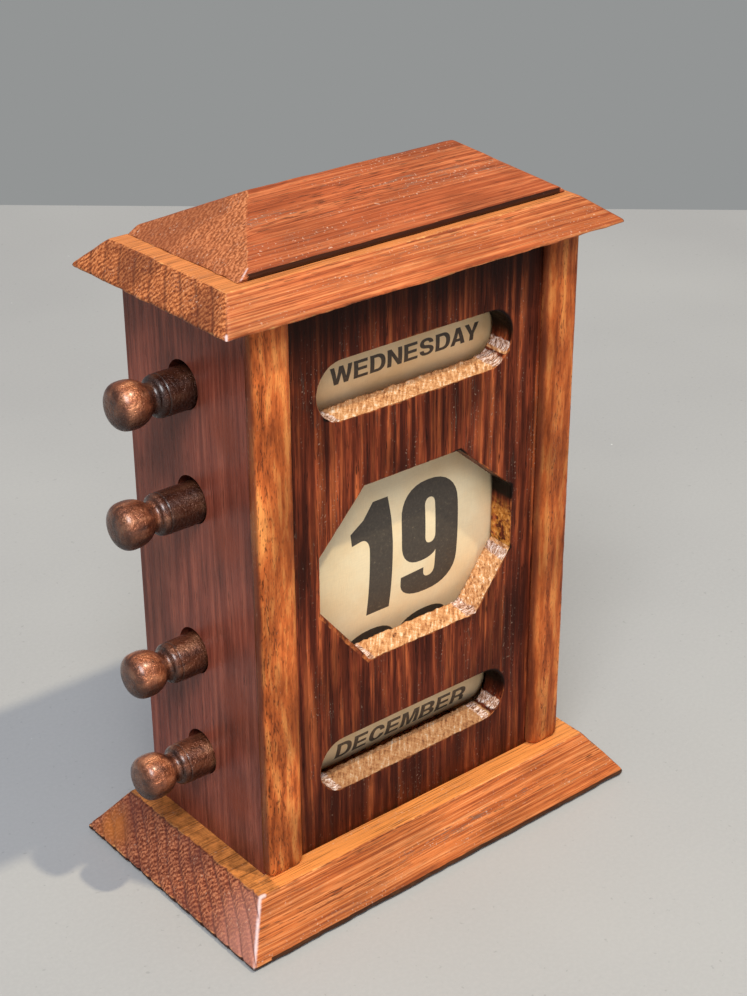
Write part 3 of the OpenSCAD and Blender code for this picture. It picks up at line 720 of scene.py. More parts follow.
lo, hi = box_mm("base_plinth")
bw, bd, run = hi[0], hi[1], 9.2
shape = slab(
    [rectangle(lo[2], -bw, bw, -bd, bd, 3), rectangle(lo[2], -bw, bw, -bd, bd),
     rectangle(lo[2] + 1.0, -bw, bw, -bd, bd), rectangle(hi[2], -bw, bw, -bd, bd, run),
     rectangle(hi[2], -bw, bw, -bd, bd, run + 5)],
    (4, 6, 30, 12), (150, 150), 0.22, 0.05, 1.0, ring=(-0.57, 0.82, 3.4, 0.6))
points = shape[0]
# Darker foot of the base: painted shade on its upright edge, with some stain. The left end of the
# top strip is made blotchy and darker.
grime = np.clip((lo[2] + np.where(points[:, 0] < lo[0] + 6, 1.1, 1.7) - points[:, 2]) / 0.5, 0, 1)
left_strip = (points[:, 2] > hi[2] - 0.6) & (points[:, 0] < lo[0] + 16)
grime = np.maximum(grime, 0.5 * left_strip)
corner = [-bw, -bd, lo[2] + 1.0]
top = [-bw + run, -bd + run, hi[2]]
chalk = rubbed_white(points, [[corner, top], [top, [-bw + run + 1.5, -bd + run, hi[2]]]], 0.85)
base = oak_piece("base_board", base_oak, shape, chalk, grime)
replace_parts(base, "base_plinth")

lo, hi = box_mm("cornice")
shape = slab(
    [rectangle(lo[2], lo[0], hi[0], lo[1], hi[1], 3), rectangle(lo[2], lo[0], hi[0], lo[1], hi[1]),
     rectangle(lo[2] + 0.4, lo[0], hi[0], lo[1], hi[1]),
     [hi[2], lo[0] + 6.2, hi[0] - 10.4, lo[1] + 8.4, hi[1] - 8.4],
     [hi[2], lo[0] + 10.2, hi[0] - 14.4, lo[1] + 12.4, hi[1] - 12.4]],
    (4, 4, 24, 8), (150, 110), 0.22, 0.05, 2.0, ring=(-0.655, 0.756, 4.06, 0.15))
chalk = rubbed_white(shape[0], [[lo, lo + [0.9, 1.2, 1.1]], [lo, lo + [2.5, 0, 0]]], 0.5)
# Darker along the cornice's lowest edge.
grime = 0.5 * np.clip((lo[2] + 1.7 - shape[0][:, 2]) / 1.2, 0, 1)
cornice = oak_piece("cornice_board", cornice_oak, shape, chalk, grime)
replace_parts(cornice, "cornice")

lo, hi = box_mm("roof_block")
middle, hip, foot = (lo[1] + hi[1]) / 2, 20.0, 1.8
rise = hip * foot / (hi[2] - lo[2])
shape = slab(
    [rectangle(lo[2], lo[0], hi[0], lo[1], hi[1], 3), rectangle(lo[2], lo[0], hi[0], lo[1], hi[1]),
     [lo[2] + foot, lo[0] + rise, hi[0] - rise, lo[1], hi[1]],
     [hi[2], lo[0] + hip, hi[0] - hip, middle, middle]],
    (4, 6, 34), (140, 60), 0.25, 0.05, 3.0, ring=(0.5, 0.87, 3.0, 0.0))
points = shape[0]
chalk = rubbed_white(points, [[lo + [1.0, 0, 0.6], lo + [4.2, 1.6, 2.6]]], 0.35)
# Painted shade in the crease at the foot of the roof block, with some stain; the ends are left out.
grime = np.clip((lo[2] + 1.9 - points[:, 2]) / 0.4, 0, 1) * (np.abs(points[:, 0]) < hi[0] - 3.0)
roof = oak_piece("roof_hip", roof_oak, shape, chalk, grime)
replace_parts(roof, "roof_block")

# %% [markdown]
# ## The front board and its windows
# The windows are sawn by hand: their lower cheeks show bare, fuzzy end grain, and their arrises
# have splintered a little. Each window gets a surface of its own, like a flattened ring: every
# point of a rectangle round the window is joined by a ray to the window's middle, and along
# each ray the surface runs from the board's back, through the window, and out over its front.

# %% Windows as sets of lines
def slot_lines(width, height):
    """Lines (normal, distance) that touch a slot with round ends: r + (w/2 - r) |cos a|."""
    a = np.linspace(0, 2 * np.pi, 257)[:-1]
    normals = np.stack([np.cos(a), np.sin(a)], axis=1)
    return normals, height / 2 + (width / 2 - height / 2) * np.abs(normals[:, 0])


def corner_lines(corners):
    """Lines along the sides of a convex outline whose corners run clockwise."""
    sides = np.roll(corners, -1, axis=0) - corners
    normals = np.stack([-sides[:, 1], sides[:, 0]], axis=1)
    normals /= np.linalg.norm(normals, axis=1, keepdims=True)
    return normals, (normals * corners).sum(axis=1)


w, h, board_height = 32.5, 25.5, 155.5
octagon = np.array([[-w, h - 15.5], [-w + 14.6, h], [w - 18.6, h], [w, h - 16],
                    [w, -h + 16], [w - 12, -h], [-w + 16.3, -h], [-w, -h + 20]])
lo, hi = box_mm("front_panel")
# Each window lists rough spots, where its cheeks are ragged, and spots of painted shade on its
# cheeks that turn away from the lamp.
windows = [
    {"middle": (0.0, lo[2] + 0.149 * board_height),
     "lines": slot_lines(65.4, 16.0), "corners": [], "rise": 1.3,
     "rough spots": [((-27.5, -7.6), 2.2), ((26.5, -7.8), 1.6), ((30.5, -5.5), 2.0)],
     "shaded spots": [((29.0, 5.0), 6.5)]},
    {"middle": (0.7, lo[2] + 0.496 * board_height),
     "lines": corner_lines(octagon), "corners": octagon, "rise": 0.8,
     "rough spots": [((-16.0, -h), 1.4), ((19.5, -h), 2.0), ((31.0, -11.5), 1.8)],
     "shaded spots": [((14.0, h), 3.0), ((32.5, 8.0), 3.0), ((32.5, -9.5), 1.2)]},
    {"middle": (0.0, lo[2] + 0.838 * board_height),
     "lines": slot_lines(63.4, 16.0), "corners": [], "rise": 0.6,
     "rough spots": [((-26.5, -7.5), 2.4), ((27.5, -7.0), 2.4), ((30.5, -3.5), 1.8)],
     "shaded spots": [((28.0, 4.5), 6.5), ((-28.5, -6.0), 1.2)]}]
borders = [lo[2], 57.0, 124.5, hi[2]]


# %% One window's ring of surface
def window_ring(window, x0, x1, z0, z1, front, rear, step=0.8):
    """Rows of points from the board's back edge through the window to its front edge."""
    nx, nz = int((x1 - x0) / step), int((z1 - z0) / step)
    x, z = np.linspace(x0, x1, nx + 1)[:-1], np.linspace(z0, z1, nz + 1)[:-1]
    border = np.concatenate([np.stack([x, 0 * x + z0], 1), np.stack([0 * z + x1, z], 1),
                             np.stack([x0 + x1 - x, 0 * x + z1], 1),
                             np.stack([0 * z + x0, z0 + z1 - z], 1)])
    middle = np.array(window["middle"])
    ray = border - middle
    reach = np.linalg.norm(ray, axis=1)
    ray = ray / reach[:, None]
    normals, distances = window["lines"]
    facing = ray @ normals.T
    length = np.where(facing > 1e-6, distances / np.maximum(facing, 1e-6), np.inf)
    touched = length.argmin(axis=1)
    rim = middle + ray * length.min(axis=1)[:, None]
    for corner in window["corners"]:
        nearest = np.linalg.norm(rim - middle - corner, axis=1).argmin()
        rim[nearest] = middle + corner
    out = normals[touched]
    bare = np.clip((-out[:, 1] - 0.85) / 0.1, 0, 1)
    bare = np.maximum(bare, 0.9 * (out @ np.array([0.8, -0.6]) > 0.999))
    sawn = (out[:, 0] > 0.999) * (rim[:, 0] > 0) * (len(window["corners"]) > 0)
    sawn = sawn * 0.8 * np.clip((4.0 - rim[:, 1] + middle[1]) / 4.0, 0, 1)
    # Ragged spots, and spots of painted shade on the cheeks.
    silver, shaded = np.zeros(len(rim)), np.zeros(len(rim))
    for mask, spots in ((silver, window["rough spots"]), (shaded, window["shaded spots"])):
        for spot, size in spots:
            away = np.linalg.norm(rim - middle - spot, axis=1)
            mask[:] = np.maximum(mask, np.exp(-(away / size) ** 2))
    place = np.stack([rim[:, 0], 0 * reach, rim[:, 1]], 1)
    ragged = np.maximum(bare, silver)
    chip = 0.25 + 0.6 * np.clip(uneven(place, 1.6, 4.0), 0, 1) * (0.3 + ragged)
    chip = chip + 1.1 * np.clip(uneven(place, 4.0, 5.0) - 0.35, 0, 1) * ragged
    if len(window["corners"]):
        chip = chip + 1.0 * (out @ np.array([-0.8, -0.6]) > 0.99)
    rows, rows_y, inside, chipped = [border, rim], [rear + 0 * reach] * 2, [0, 1], [0, 0]
    for t in np.linspace(0, 1, 15)[1:]:
        rows.append(rim)
        rows_y.append(rear + t * (front + chip - rear))
        inside.append(1)
        chipped.append(0)
    for t in (0.35, 0.7, 1.0):
        a = t * np.pi / 2
        rows.append(rim + ray * (chip * (1 - np.cos(a)))[:, None])
        rows_y.append(front + chip * (1 - np.sin(a)))
        inside.append(1 - t)
        chipped.append(1)
    start = rim + ray * chip[:, None]
    for t in (0.02, 0.06, 0.14, 0.3, 0.5, 0.7, 0.85, 1.0):
        rows.append(start + t * (border - start))
        rows_y.append(front + 0 * reach)
        inside.append(0)
        chipped.append(np.exp(-t * 30))
    flat = np.stack(rows)
    points = np.stack([flat[:, :, 0], np.stack(rows_y), flat[:, :, 1]], axis=2)
    inside = np.array(inside)[:, None]
    raw = inside * bare
    depth = (points[:, :, 1] - front) / (rear - front)
    points[:, :, 2] += window["rise"] * np.clip(depth, 0, 1) * raw
    shape = points.shape[:2]
    fuzz = uneven(points.reshape(-1, 3), 0.9, 6.0) + 0.7 * uneven(points.reshape(-1, 3), 2.3, 7.0)
    silver = inside * silver
    push = fuzz.reshape(shape) * (0.22 * raw + 0.35 * silver)
    points[:, :, 0] += push * out[:, 0]
    points[:, :, 2] += push * out[:, 1]
    edge = np.array(chipped)[:, None] * np.ones(shape)
    # The board's darkening mask holds only the painted shade on its window cheeks.
    masks = {"raw": raw, "edge": edge, "silver": silver, "sawn": inside * sawn,
             "grime": np.maximum(inside, edge) * shaded}
    return points, {key: mask.ravel() for key, mask in masks.items()}, border


# %% [markdown]
# The rectangles of the three windows share their borders, and neighbouring rings have the same
# points there, so that merging close points sews the rings together. Only the board's outer rim
# gets faces of its own, from the front edge of a ring to its back edge.

# %% Join the three rings into one board
all_points, all_faces, all_masks, start = [], [], [], 0
for window, z0, z1 in zip(windows, borders[:-1], borders[1:]):
    points, masks, border = window_ring(window, lo[0], hi[0], z0, z1, lo[1], hi[1])
    rows, columns = points.shape[:2]
    ring = np.arange(columns)
    after = (ring + 1) % columns
    ends = np.stack([border[ring], border[after]])
    outer = (np.abs(np.abs(ends[:, :, 0]) - hi[0]) < 0.01).all(axis=0)
    for level in (borders[0], borders[-1]):
        outer |= (np.abs(ends[:, :, 1] - level) < 0.01).all(axis=0)
    last = (rows - 1) * columns
    rim = np.stack([last + ring, last + after, after, ring], axis=1)[outer]
    all_points.append(points.reshape(-1, 3))
    all_faces += [grid_faces(rows, columns) + start, rim + start]
    all_masks.append(masks)
    start += rows * columns
masks = {key: np.concatenate([part[key] for part in all_masks]) for key in masks}
board = make_piece("front_board", np.concatenate(all_points), np.concatenate(all_faces),
                   panel_oak, "case", "oak_striped", merge=0.01, **masks)
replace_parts(board, "front_panel")

# %% [markdown]
# ## Corner strips
# A strip's plan is a rectangle with two rounded front corners, drawn up along the case. Near
# the bottom the plan shrinks a little, because the strip's end is rubbed round.

# %% The two strips
def strip_plan(width, inset):
    """Outline from the back of the outside, round both front corners, to the back of the
    inside. Each corner is a quarter circle."""
    outer, inner = 1.5, 2.7
    a = np.linspace(0, np.pi / 2, 9)
    y0 = -3.0 + inset
    left = np.stack([inset + outer - outer * np.cos(a), y0 + outer - outer * np.sin(a)], 1)
    right = np.stack([width - inset - inner + inner * np.sin(a), y0 + inner - inner * np.cos(a)], 1)
    across = np.linspace(outer + 0.6, width - inner - 0.6, 12)
    front = np.stack([across, 0 * across + y0], 1)
    return np.concatenate([[[inset, -0.02]], [[inset, -0.7]], left, front, right,
                           [[width - inset, -0.02]]])


def strip(name, x, width, mirror, seed):
    """Rows of the plan from the bottom to the top of the front board, closed by flat ends."""
    z0, z1, front = lo[2], hi[2], lo[1]
    heights = np.concatenate([[0, 0.25, 0.6, 1.1, 1.8], np.linspace(3, z1 - z0, 150)])
    insets = 0.9 * np.clip(1 - heights / 1.8, 0, 1) ** 2
    plans = [strip_plan(width, inset) for inset in insets]
    rows, columns = len(plans), len(plans[0])
    flat = np.column_stack([np.concatenate(plans), np.repeat(heights, columns)])
    outer = np.hypot(flat[:, 0], flat[:, 1] + 3.0)
    inner = np.hypot(width - flat[:, 0], flat[:, 1] + 3.0)
    edge = np.maximum(np.exp(-np.maximum(outer - 0.62, 0) / 0.7),
                      0.75 * np.exp(-np.maximum(inner - 1.1, 0) / 0.8))
    dent = 0.06 * uneven(flat, 14.0, seed)
    dent = dent - 0.12 * edge * np.clip(uneven(flat, 3.0, seed + 1), 0, 1)
    flat[:, 1] -= dent * (flat[:, 1] < -0.5)
    points = flat * [-1 if mirror else 1, 1, 1] + [x, front, z0]
    return make_piece(name, points, closed_tube(rows, columns), strip_oak, "case", "oak_strip",
                      merge=0.001, edge=edge)


box = box_mm("left_strip")
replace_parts(strip("left_corner_strip", box[0][0], 11.8, False, 8.0), "left_strip")
box = box_mm("right_strip")
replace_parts(strip("right_corner_strip", box[1][0], 10.4, True, 9.0), "right_strip")

# %% [markdown]
# ## Turned knobs
# A lathe makes a surface of revolution: one profile, radius over length, swept round the rod's
# axis. The dome is a blunt power curve, the neck is a hollow parabola, the shoulder a quarter
# ellipse, and a fine line is cut behind it.

# %% Rods with knobs
rod_radius, pin_radius = 5.5, 1.6


def knob_profile():
    """Length from the tip and radius, as two arrays."""
    head, neck, shoulder, radius, rod = 9.3, 2.0, 1.8, 6.15, rod_radius
    widest, tail, waist = 0.5 * head, 0.7, 3.9
    end = radius * math.sqrt(1 - tail ** 2)
    s = np.concatenate([widest * (1 - np.cos(np.linspace(0, np.pi / 2, 22))),
                        np.linspace(widest, head, 14)[1:], np.linspace(head, head + neck, 9)[1:],
                        head + neck + shoulder * (1 - np.cos(np.linspace(0, np.pi / 2, 9)))[1:]])
    dome = radius * (1 - np.clip(1 - s / widest, 0, 1) ** 3) ** (1 / 3)
    rear = radius * np.sqrt(1 - np.clip(tail * (s - widest) / (head - widest), 0, 0.9) ** 2)
    hollow = waist + (end - waist) * (2 * (s - head) / neck - 1) ** 2
    bead = end + (rod - end) * np.sqrt(1 - (1 - np.clip((s - head - neck) / shoulder, 0, 1)) ** 2)
    r = np.where(s <= widest, dome, np.where(s <= head, rear,
                 np.where(s <= head + neck, hollow, bead)))
    line = head + neck + shoulder
    s = np.concatenate([s, line + np.array([0.12, 0.25, 0.38, 0.5, 0.65, 1.0])])
    r = np.concatenate([r, rod - np.array([0.02, 0.3, 0.3, 0.02, 0.0, 0.0])])
    return s, r


def turned_rod(name, node, body, seed):
    """The profile swept round the rod's axis, and the plain rod up to the right end."""
    low, high, middle, _ = round_mm(node)
    s, r = knob_profile()
    length = high[0] - low[0]
    s = np.concatenate([s, np.linspace(s[-1], length - 0.4, 60)[1:], [length, length]])
    r = np.concatenate([r, np.full(59, rod_radius), [rod_radius - 0.4, pin_radius]])
    a = np.linspace(0, 2 * np.pi, 97)[:-1]
    x = low[0] + s[:, None] + 0 * a

    def swept(rim):
        return np.stack([x, middle[0] + rim * np.cos(a), middle[1] + rim * np.sin(a)],
                        axis=2).reshape(-1, 3)

    rim = r[:, None] + 0 * a
    dent = uneven(swept(rim), 3.5, seed).reshape(rim.shape) - 0.6
    rim = rim + 0.07 * dent * (s[:, None] < 14.0) * (rim > 1.0)
    faces = grid_faces(len(s), len(a)).tolist()
    last = (len(s) - 1) * len(a)
    faces.append(list(range(last, last + len(a))))
    made = make_piece(name, swept(rim), faces, knob_wood, body, "knob_wood", merge=0.001)
    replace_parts(made, node)


for number, label in enumerate(("day", "upper_date", "lower_date", "month")):
    turned_rod(label + "_knob_and_rod", label + "_rod", label + "_roller", 11.0 + number)

# %% [markdown]
# ## Lettering
# The names are wide, heavy, plain capitals. Each one is drawn here from straight lines and
# rounded corners, on a height of 1; a rounded corner is a quarter of the curve |x|^p + |y|^p = 1
# between the points before and after it. A word is filled, turned into a mesh and cut into
# thin slices so that it can bend, and a height on the flat word becomes an angle round the drum.

# %% Outlines with rounded corners
def rounded(*stops, power=2.3):
    """Outline through (x, y) stops; a stop with a third value is a corner to be rounded."""
    points = []
    for number, stop in enumerate(stops):
        if len(stop) == 2:
            points.append(stop)
            continue
        start = np.array(stops[number - 1][:2])
        end = np.array(stops[(number + 1) % len(stops)][:2])
        a = np.linspace(0, np.pi / 2, 9)[1:-1, None]
        centre = start + end - np.array(stop[:2])
        points += (centre + (start - centre) * np.cos(a) ** (2 / power)
                   + (end - centre) * np.sin(a) ** (2 / power)).tolist()
    return points


def oval(x0, x1, y0, y1, bend):
    """Upright oval with straight sides; its rounded ends are bend high."""
    x = (x0 + x1) / 2
    return rounded((x0, y0 + bend), (x0, y1 - bend), (x0, y1, 1), (x, y1), (x1, y1, 1),
                   (x1, y1 - bend), (x1, y0 + bend), (x1, y0, 1), (x, y0), (x0, y0, 1))


def bowl(x0, x1, x2, y0, y1):
    """A shape that is straight on its left and rounded on its right, from x0 over x1 to x2."""
    y = (y0 + y1) / 2
    return [(x0, y0), (x0, y1), (x1, y1), (x2, y1, 1), (x2, y), (x2, y0, 1), (x1, y0)]


# %% Capitals
capitals = {
    "A": [[(0, 0), (.26, 1), (.48, 1), (.74, 0), (.53, 0), (.485, .2), (.255, .2), (.21, 0)],
          [(.295, .37), (.445, .37), (.37, .7)]],
    "B": [[(0, 0), (0, 1), (.42, 1), (.7, 1, 1), (.7, .76), (.69, .58, 1), (.57, .53),
           (.74, .48, 1), (.74, .29), (.74, 0, 1), (.44, 0)],
          bowl(.2, .36, .48, .6, .84), bowl(.2, .38, .52, .16, .44)],
    "C": [[(.74, .37), (.72, 0, 1), (.38, 0), (0, 0, 1), (0, .5), (0, 1, 1), (.39, 1),
           (.72, 1, 1), (.73, .66), (.52, .64), (.5, .83, 1), (.39, .83), (.21, .83, 1),
           (.21, .5), (.21, .17, 1), (.39, .17), (.51, .17, 1), (.53, .39)]],
    "D": [bowl(0, .38, .74, 0, 1), bowl(.2, .34, .53, .17, .83)],
    "E": [[(0, 0), (0, 1), (.66, 1), (.66, .83), (.2, .83), (.2, .6), (.62, .6), (.62, .43),
           (.2, .43), (.2, .17), (.68, .17), (.68, 0)]],
    "F": [[(0, 0), (0, 1), (.62, 1), (.62, .83), (.2, .83), (.2, .59), (.57, .59), (.57, .42),
           (.2, .42), (.2, 0)]],
    "G": [[(.77, .53), (.77, .1), (.62, .02), (.4, 0), (0, 0, 1), (0, .5), (0, 1, 1), (.39, 1),
           (.72, 1, 1), (.75, .67), (.54, .64), (.51, .83, 1), (.39, .83), (.21, .83, 1),
           (.21, .5), (.21, .17, 1), (.4, .17), (.5, .18), (.57, .22), (.57, .37), (.4, .37),
           (.4, .53)]],
    "H": [[(0, 0), (0, 1), (.2, 1), (.2, .61), (.52, .61), (.52, 1), (.72, 1), (.72, 0),
           (.52, 0), (.52, .43), (.2, .43), (.2, 0)]],
    "I": [[(0, 0), (0, 1), (.2, 1), (.2, 0)]],
    "J": [[(0, .33), (0, 0, 1), (.3, 0), (.6, 0, 1), (.6, .33), (.6, 1), (.4, 1), (.4, .33),
           (.4, .17, 1), (.3, .17), (.2, .17, 1), (.2, .36)]],
    "L": [[(0, 0), (0, 1), (.2, 1), (.2, .17), (.62, .17), (.62, 0)]],
    "M": [[(0, 0), (0, 1), (.28, 1), (.43, .32), (.58, 1), (.86, 1), (.86, 0), (.67, 0),
           (.67, .76), (.51, 0), (.35, 0), (.19, .76), (.19, 0)]],
    "N": [[(0, 0), (0, 1), (.2, 1), (.52, .37), (.52, 1), (.72, 1), (.72, 0), (.52, 0),
           (.2, .63), (.2, 0)]],
    "O": [oval(0, .78, 0, 1, .42), oval(.21, .57, .17, .83, .28)],
    "P": [bowl(0, .4, .69, .36, 1)[1:] + [(.2, .36), (.2, 0), (0, 0)],
          bowl(.2, .36, .49, .53, .83)],
    "R": [[(0, 0), (0, 1), (.42, 1), (.72, 1, 1), (.72, .71), (.72, .47, 1), (.56, .43),
           (.68, .4, 1), (.7, .26), (.71, .06), (.75, 0), (.54, 0), (.5, .08), (.49, .28),
           (.47, .38, 1), (.34, .38), (.2, .38), (.2, 0)], bowl(.2, .37, .51, .55, .83)],
    "S": [[(0, .32), (0, 0, 1), (.35, 0), (.7, 0, 1), (.7, .3), (.7, .5, 1), (.44, .58),
           (.28, .62), (.2, .65, 1), (.2, .73), (.2, .84, 1), (.34, .84), (.46, .84, 1),
           (.47, .7), (.68, .7), (.66, 1, 1), (.34, 1), (0, 1, 1), (0, .7), (0, .5, 1),
           (.25, .43), (.42, .39), (.5, .36, 1), (.5, .28), (.5, .16, 1), (.35, .16),
           (.2, .16, 1), (.2, .32)]],
    "T": [[(.225, 0), (.225, .83), (0, .83), (0, 1), (.65, 1), (.65, .83), (.425, .83),
           (.425, 0)]],
    "U": [[(0, 1), (0, .38), (0, 0, 1), (.36, 0), (.72, 0, 1), (.72, .38), (.72, 1), (.52, 1),
           (.52, .36), (.52, .17, 1), (.36, .17), (.2, .17, 1), (.2, .36), (.2, 1)]],
    "V": [[(.24, 0), (0, 1), (.21, 1), (.36, .3), (.51, 1), (.72, 1), (.48, 0)]],
    "W": [[(.19, 0), (0, 1), (.2, 1), (.3, .36), (.43, 1), (.63, 1), (.76, .36), (.86, 1),
           (1.06, 1), (.87, 0), (.66, 0), (.53, .62), (.4, 0)]],
    "Y": [[(.265, 0), (.265, .38), (0, 1), (.22, 1), (.365, .58), (.51, 1), (.73, 1),
           (.465, .38), (.465, 0)]]}


# %% Flat outlines as sliced triangles
def flat_mesh(outlines, cuts, keep=(-1e3, 1e3)):
    """Points (x, height) and faces of filled outlines, cut through at each height in cuts.
    What lies below or above the heights in keep is left out."""
    curve = bpy.data.curves.new("flat", "CURVE")
    curve.dimensions, curve.fill_mode = "2D", "BOTH"
    for outline in outlines:
        spline = curve.splines.new("POLY")
        spline.points.add(len(outline) - 1)
        flat = np.column_stack([outline, np.zeros(len(outline)), np.ones(len(outline))])
        spline.points.foreach_set("co", flat.ravel())
        spline.use_cyclic_u = True
    made = bpy.data.objects.new("flat", curve)
    bpy.context.scene.collection.objects.link(made)
    bpy.context.view_layer.update()
    work = bmesh.new()
    work.from_mesh(made.to_mesh())
    bmesh.ops.remove_doubles(work, verts=work.verts, dist=1e-5)
    bmesh.ops.triangulate(work, faces=work.faces)
    for height in cuts:
        parts = work.verts[:] + work.edges[:] + work.faces[:]
        bmesh.ops.bisect_plane(work, geom=parts, plane_co=(0, height, 0), plane_no=(0, 1, 0))
    for height, sign in zip(keep, (-1, 1)):
        parts = work.verts[:] + work.edges[:] + work.faces[:]
        bmesh.ops.bisect_plane(work, geom=parts, plane_co=(0, height, 0), plane_no=(0, sign, 0),
                               clear_outer=True)
    work.verts.index_update()
    points = np.array([v.co[:2] for v in work.verts])
    faces = [[v.index for v in f.verts] for f in work.faces]
    work.free()
    bpy.data.objects.remove(made)
    return points, faces


# These letters leave white at their sides, so their neighbours move in by this share of the cap.
lean = {"A": 0.06, "V": 0.06, "Y": 0.07, "T": 0.05, "W": 0.03, "L": 0.02}


def heavy_words(words, cap, stretch):
    """Centred capitals of height cap in mm, and wider than drawn by stretch."""
    outlines, x = [], 0.0
    for letter in words:
        x -= lean.get(letter, 0)
        outlines += [np.array(rounded(*outline)) + (x, 0) for outline in capitals[letter]]
        x = max(outline[:, 0].max() for outline in outlines) + 0.1 - lean.get(letter, 0)
    middle = ((x - 0.1) / 2, 0.5)
    scale = np.array([cap * stretch, cap])
    return flat_mesh([(o - middle) * scale for o in outlines], np.linspace(-0.5, 0.5, 13) * cap)


# %% [markdown]
# Seven days share the turn of one drum and twelve months that of the other. The week starts with
# the day that the window shows, and the year with its month.

# %% Names round the drums
ink_height, names_x = 0.015, 3.25


def wrap_names(name, node, names, cap, stretch, first, body, print_tone):
    """Names laid out one below the other round a drum. The first one sits first degrees
    above the level of the axis, and each next one a share of a turn lower."""
    _, _, (axis_y, axis_z), radius = round_mm(node)
    radius += ink_height
    all_points, all_faces, start = [], [], 0
    for number, words in enumerate(names):
        points, faces = heavy_words(words, cap, stretch)
        angle = math.radians(first) - number * 2 * np.pi / len(names) + points[:, 1] / radius
        all_points.append(np.column_stack([points[:, 0] + names_x,
                                           axis_y - radius * np.cos(angle),
                                           axis_z + radius * np.sin(angle)]))
        all_faces += [[c + start for c in face] for face in faces]
        start += len(points)
    make_piece(name, np.concatenate(all_points), all_faces, print_tone, body, "paper",
               smooth=False)


week = ["WEDNESDAY", "THURSDAY", "FRIDAY", "SATURDAY", "SUNDAY", "MONDAY", "TUESDAY"]
year = ["DECEMBER", "JANUARY", "FEBRUARY", "MARCH", "APRIL", "MAY", "JUNE", "JULY", "AUGUST",
        "SEPTEMBER", "OCTOBER", "NOVEMBER"]
wrap_names("day_names", "day_paper", week, 4.7, 1.41, -1.8, "day_roller", ink)
wrap_names("month_names", "month_paper", year, 5.75, 1.24, -16.9, "month_roller", faded)

# %% [markdown]
# The names are printed on a paper strip glued round the drum. It lies a little uneven, with three
# shallow waves in a turn, so that the light does not run along it as on a metal tube.

# %% Plain paper strips
def paper_strip(name, node, body):
    """A tube round the drum, with its radius swelling and shrinking as sin(3 a), and with its
    two edges turned in by the paper's thickness."""
    low, high, (axis_y, axis_z), radius = round_mm(node)
    a = np.linspace(0, 2 * np.pi, 181)[:-1]
    sheet, wave, count = 0.3, 0.012, 40
    x = np.concatenate([[low[0]], np.linspace(low[0], high[0], count), [high[0]]])
    r = np.concatenate([[radius - sheet], np.full(count, radius), [radius - sheet]])
    ripple = wave * np.sin(3 * a)[None, :] * (r > radius - sheet / 3)[:, None]
    r = r[:, None] + ripple - wave
    grid = np.stack([x[:, None] + 0 * a, axis_y - r * np.cos(a), axis_z + r * np.sin(a)], 2)
    faces = grid_faces(len(x), len(a), close_rows=True)
    made = make_piece(name, grid.reshape(-1, 3), faces, paper, body, "paper", merge=0.0005)
    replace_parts(made, node)


paper_strip("day_strip", "day_paper", "day_roller")
paper_strip("month_strip", "month_paper", "month_roller")

# %% [markdown]
# ## The date band and its numbers
# The open length of the band runs from the upper roll over the platen's curve to the lower
# roll. It is one path of points in the plane across the case: a short straight run, a tight
# arc, the long arc of the platen, a tight arc and a straight run again.

# %% Path of the band
def arc(centre, r, a0, a1, steps):
    """Points (y, z) on a circle, at even angles from a0 to a1."""
    a = np.linspace(a0, a1, steps)
    return centre + r * np.stack([np.cos(a), np.sin(a)], axis=1)


def tangent(c1, r1, c2, r2, side):
    """Angle of the normal of the line that touches both circles: acos((r1 - r2)/distance)
    away from the line of their middles."""
    line = c2 - c1
    return math.atan2(line[1], line[0]) + side * math.acos((r1 - r2) / np.linalg.norm(line))


band_low, band_high = box_mm("date_band")
curve, edge_r, half_height, thick, clear = 110.0, 1.0, 29.0, 0.25, 0.3
middle = np.array([box_mm("date_platen")[0][1] + curve, windows[1]["middle"][1]])
half = math.asin(half_height / curve)
above, below = [arc(middle, curve - edge_r, math.pi + s * half, 0, 1)[0] for s in (-1, 1)]
rolls = [round_mm(node)[:3] for node in ("upper_band_roll", "lower_band_roll")]
(top_c, top_r), (low_c, low_r) = [(axis, (high[2] - low[2]) / 2) for low, high, axis in rolls]
leaving = tangent(above, edge_r, top_c, top_r + clear, 1)
landing = tangent(below, edge_r, low_c, low_r + clear, -1) + 2 * math.pi


def band_path(height):
    """Points (y, z) at a height over the platen, from the upper roll to the lower one."""
    return np.concatenate([
        arc(top_c, top_r + clear + height, leaving, leaving, 1),
        arc(above, edge_r + height, leaving, math.pi - half, 12),
        arc(middle, curve + height, math.pi - half, math.pi + half, 60)[1:],
        arc(below, edge_r + height, math.pi + half, landing, 12)[1:],
        arc(low_c, low_r + clear + height, landing, landing, 1)])


outer, inner, count = band_path(thick), band_path(0.0), 33
across = np.linspace(band_low[0], band_high[0], count)
ring_x = np.concatenate([across, across[::-1]])
ring = np.concatenate([np.repeat(side[:, None], count, 1) for side in (outer, inner)], 1)
grid = np.concatenate([np.broadcast_to(ring_x, ring.shape[:2])[:, :, None], ring], axis=2)
band = make_piece("linen_date_band", grid.reshape(-1, 3), closed_tube(len(outer), 2 * count),
                  linen, "case", "linen")
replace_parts(band, "date_band")

# %% [markdown]
# The numbers are tall and heavy, drawn in mm with the same rounded corners as the capitals.

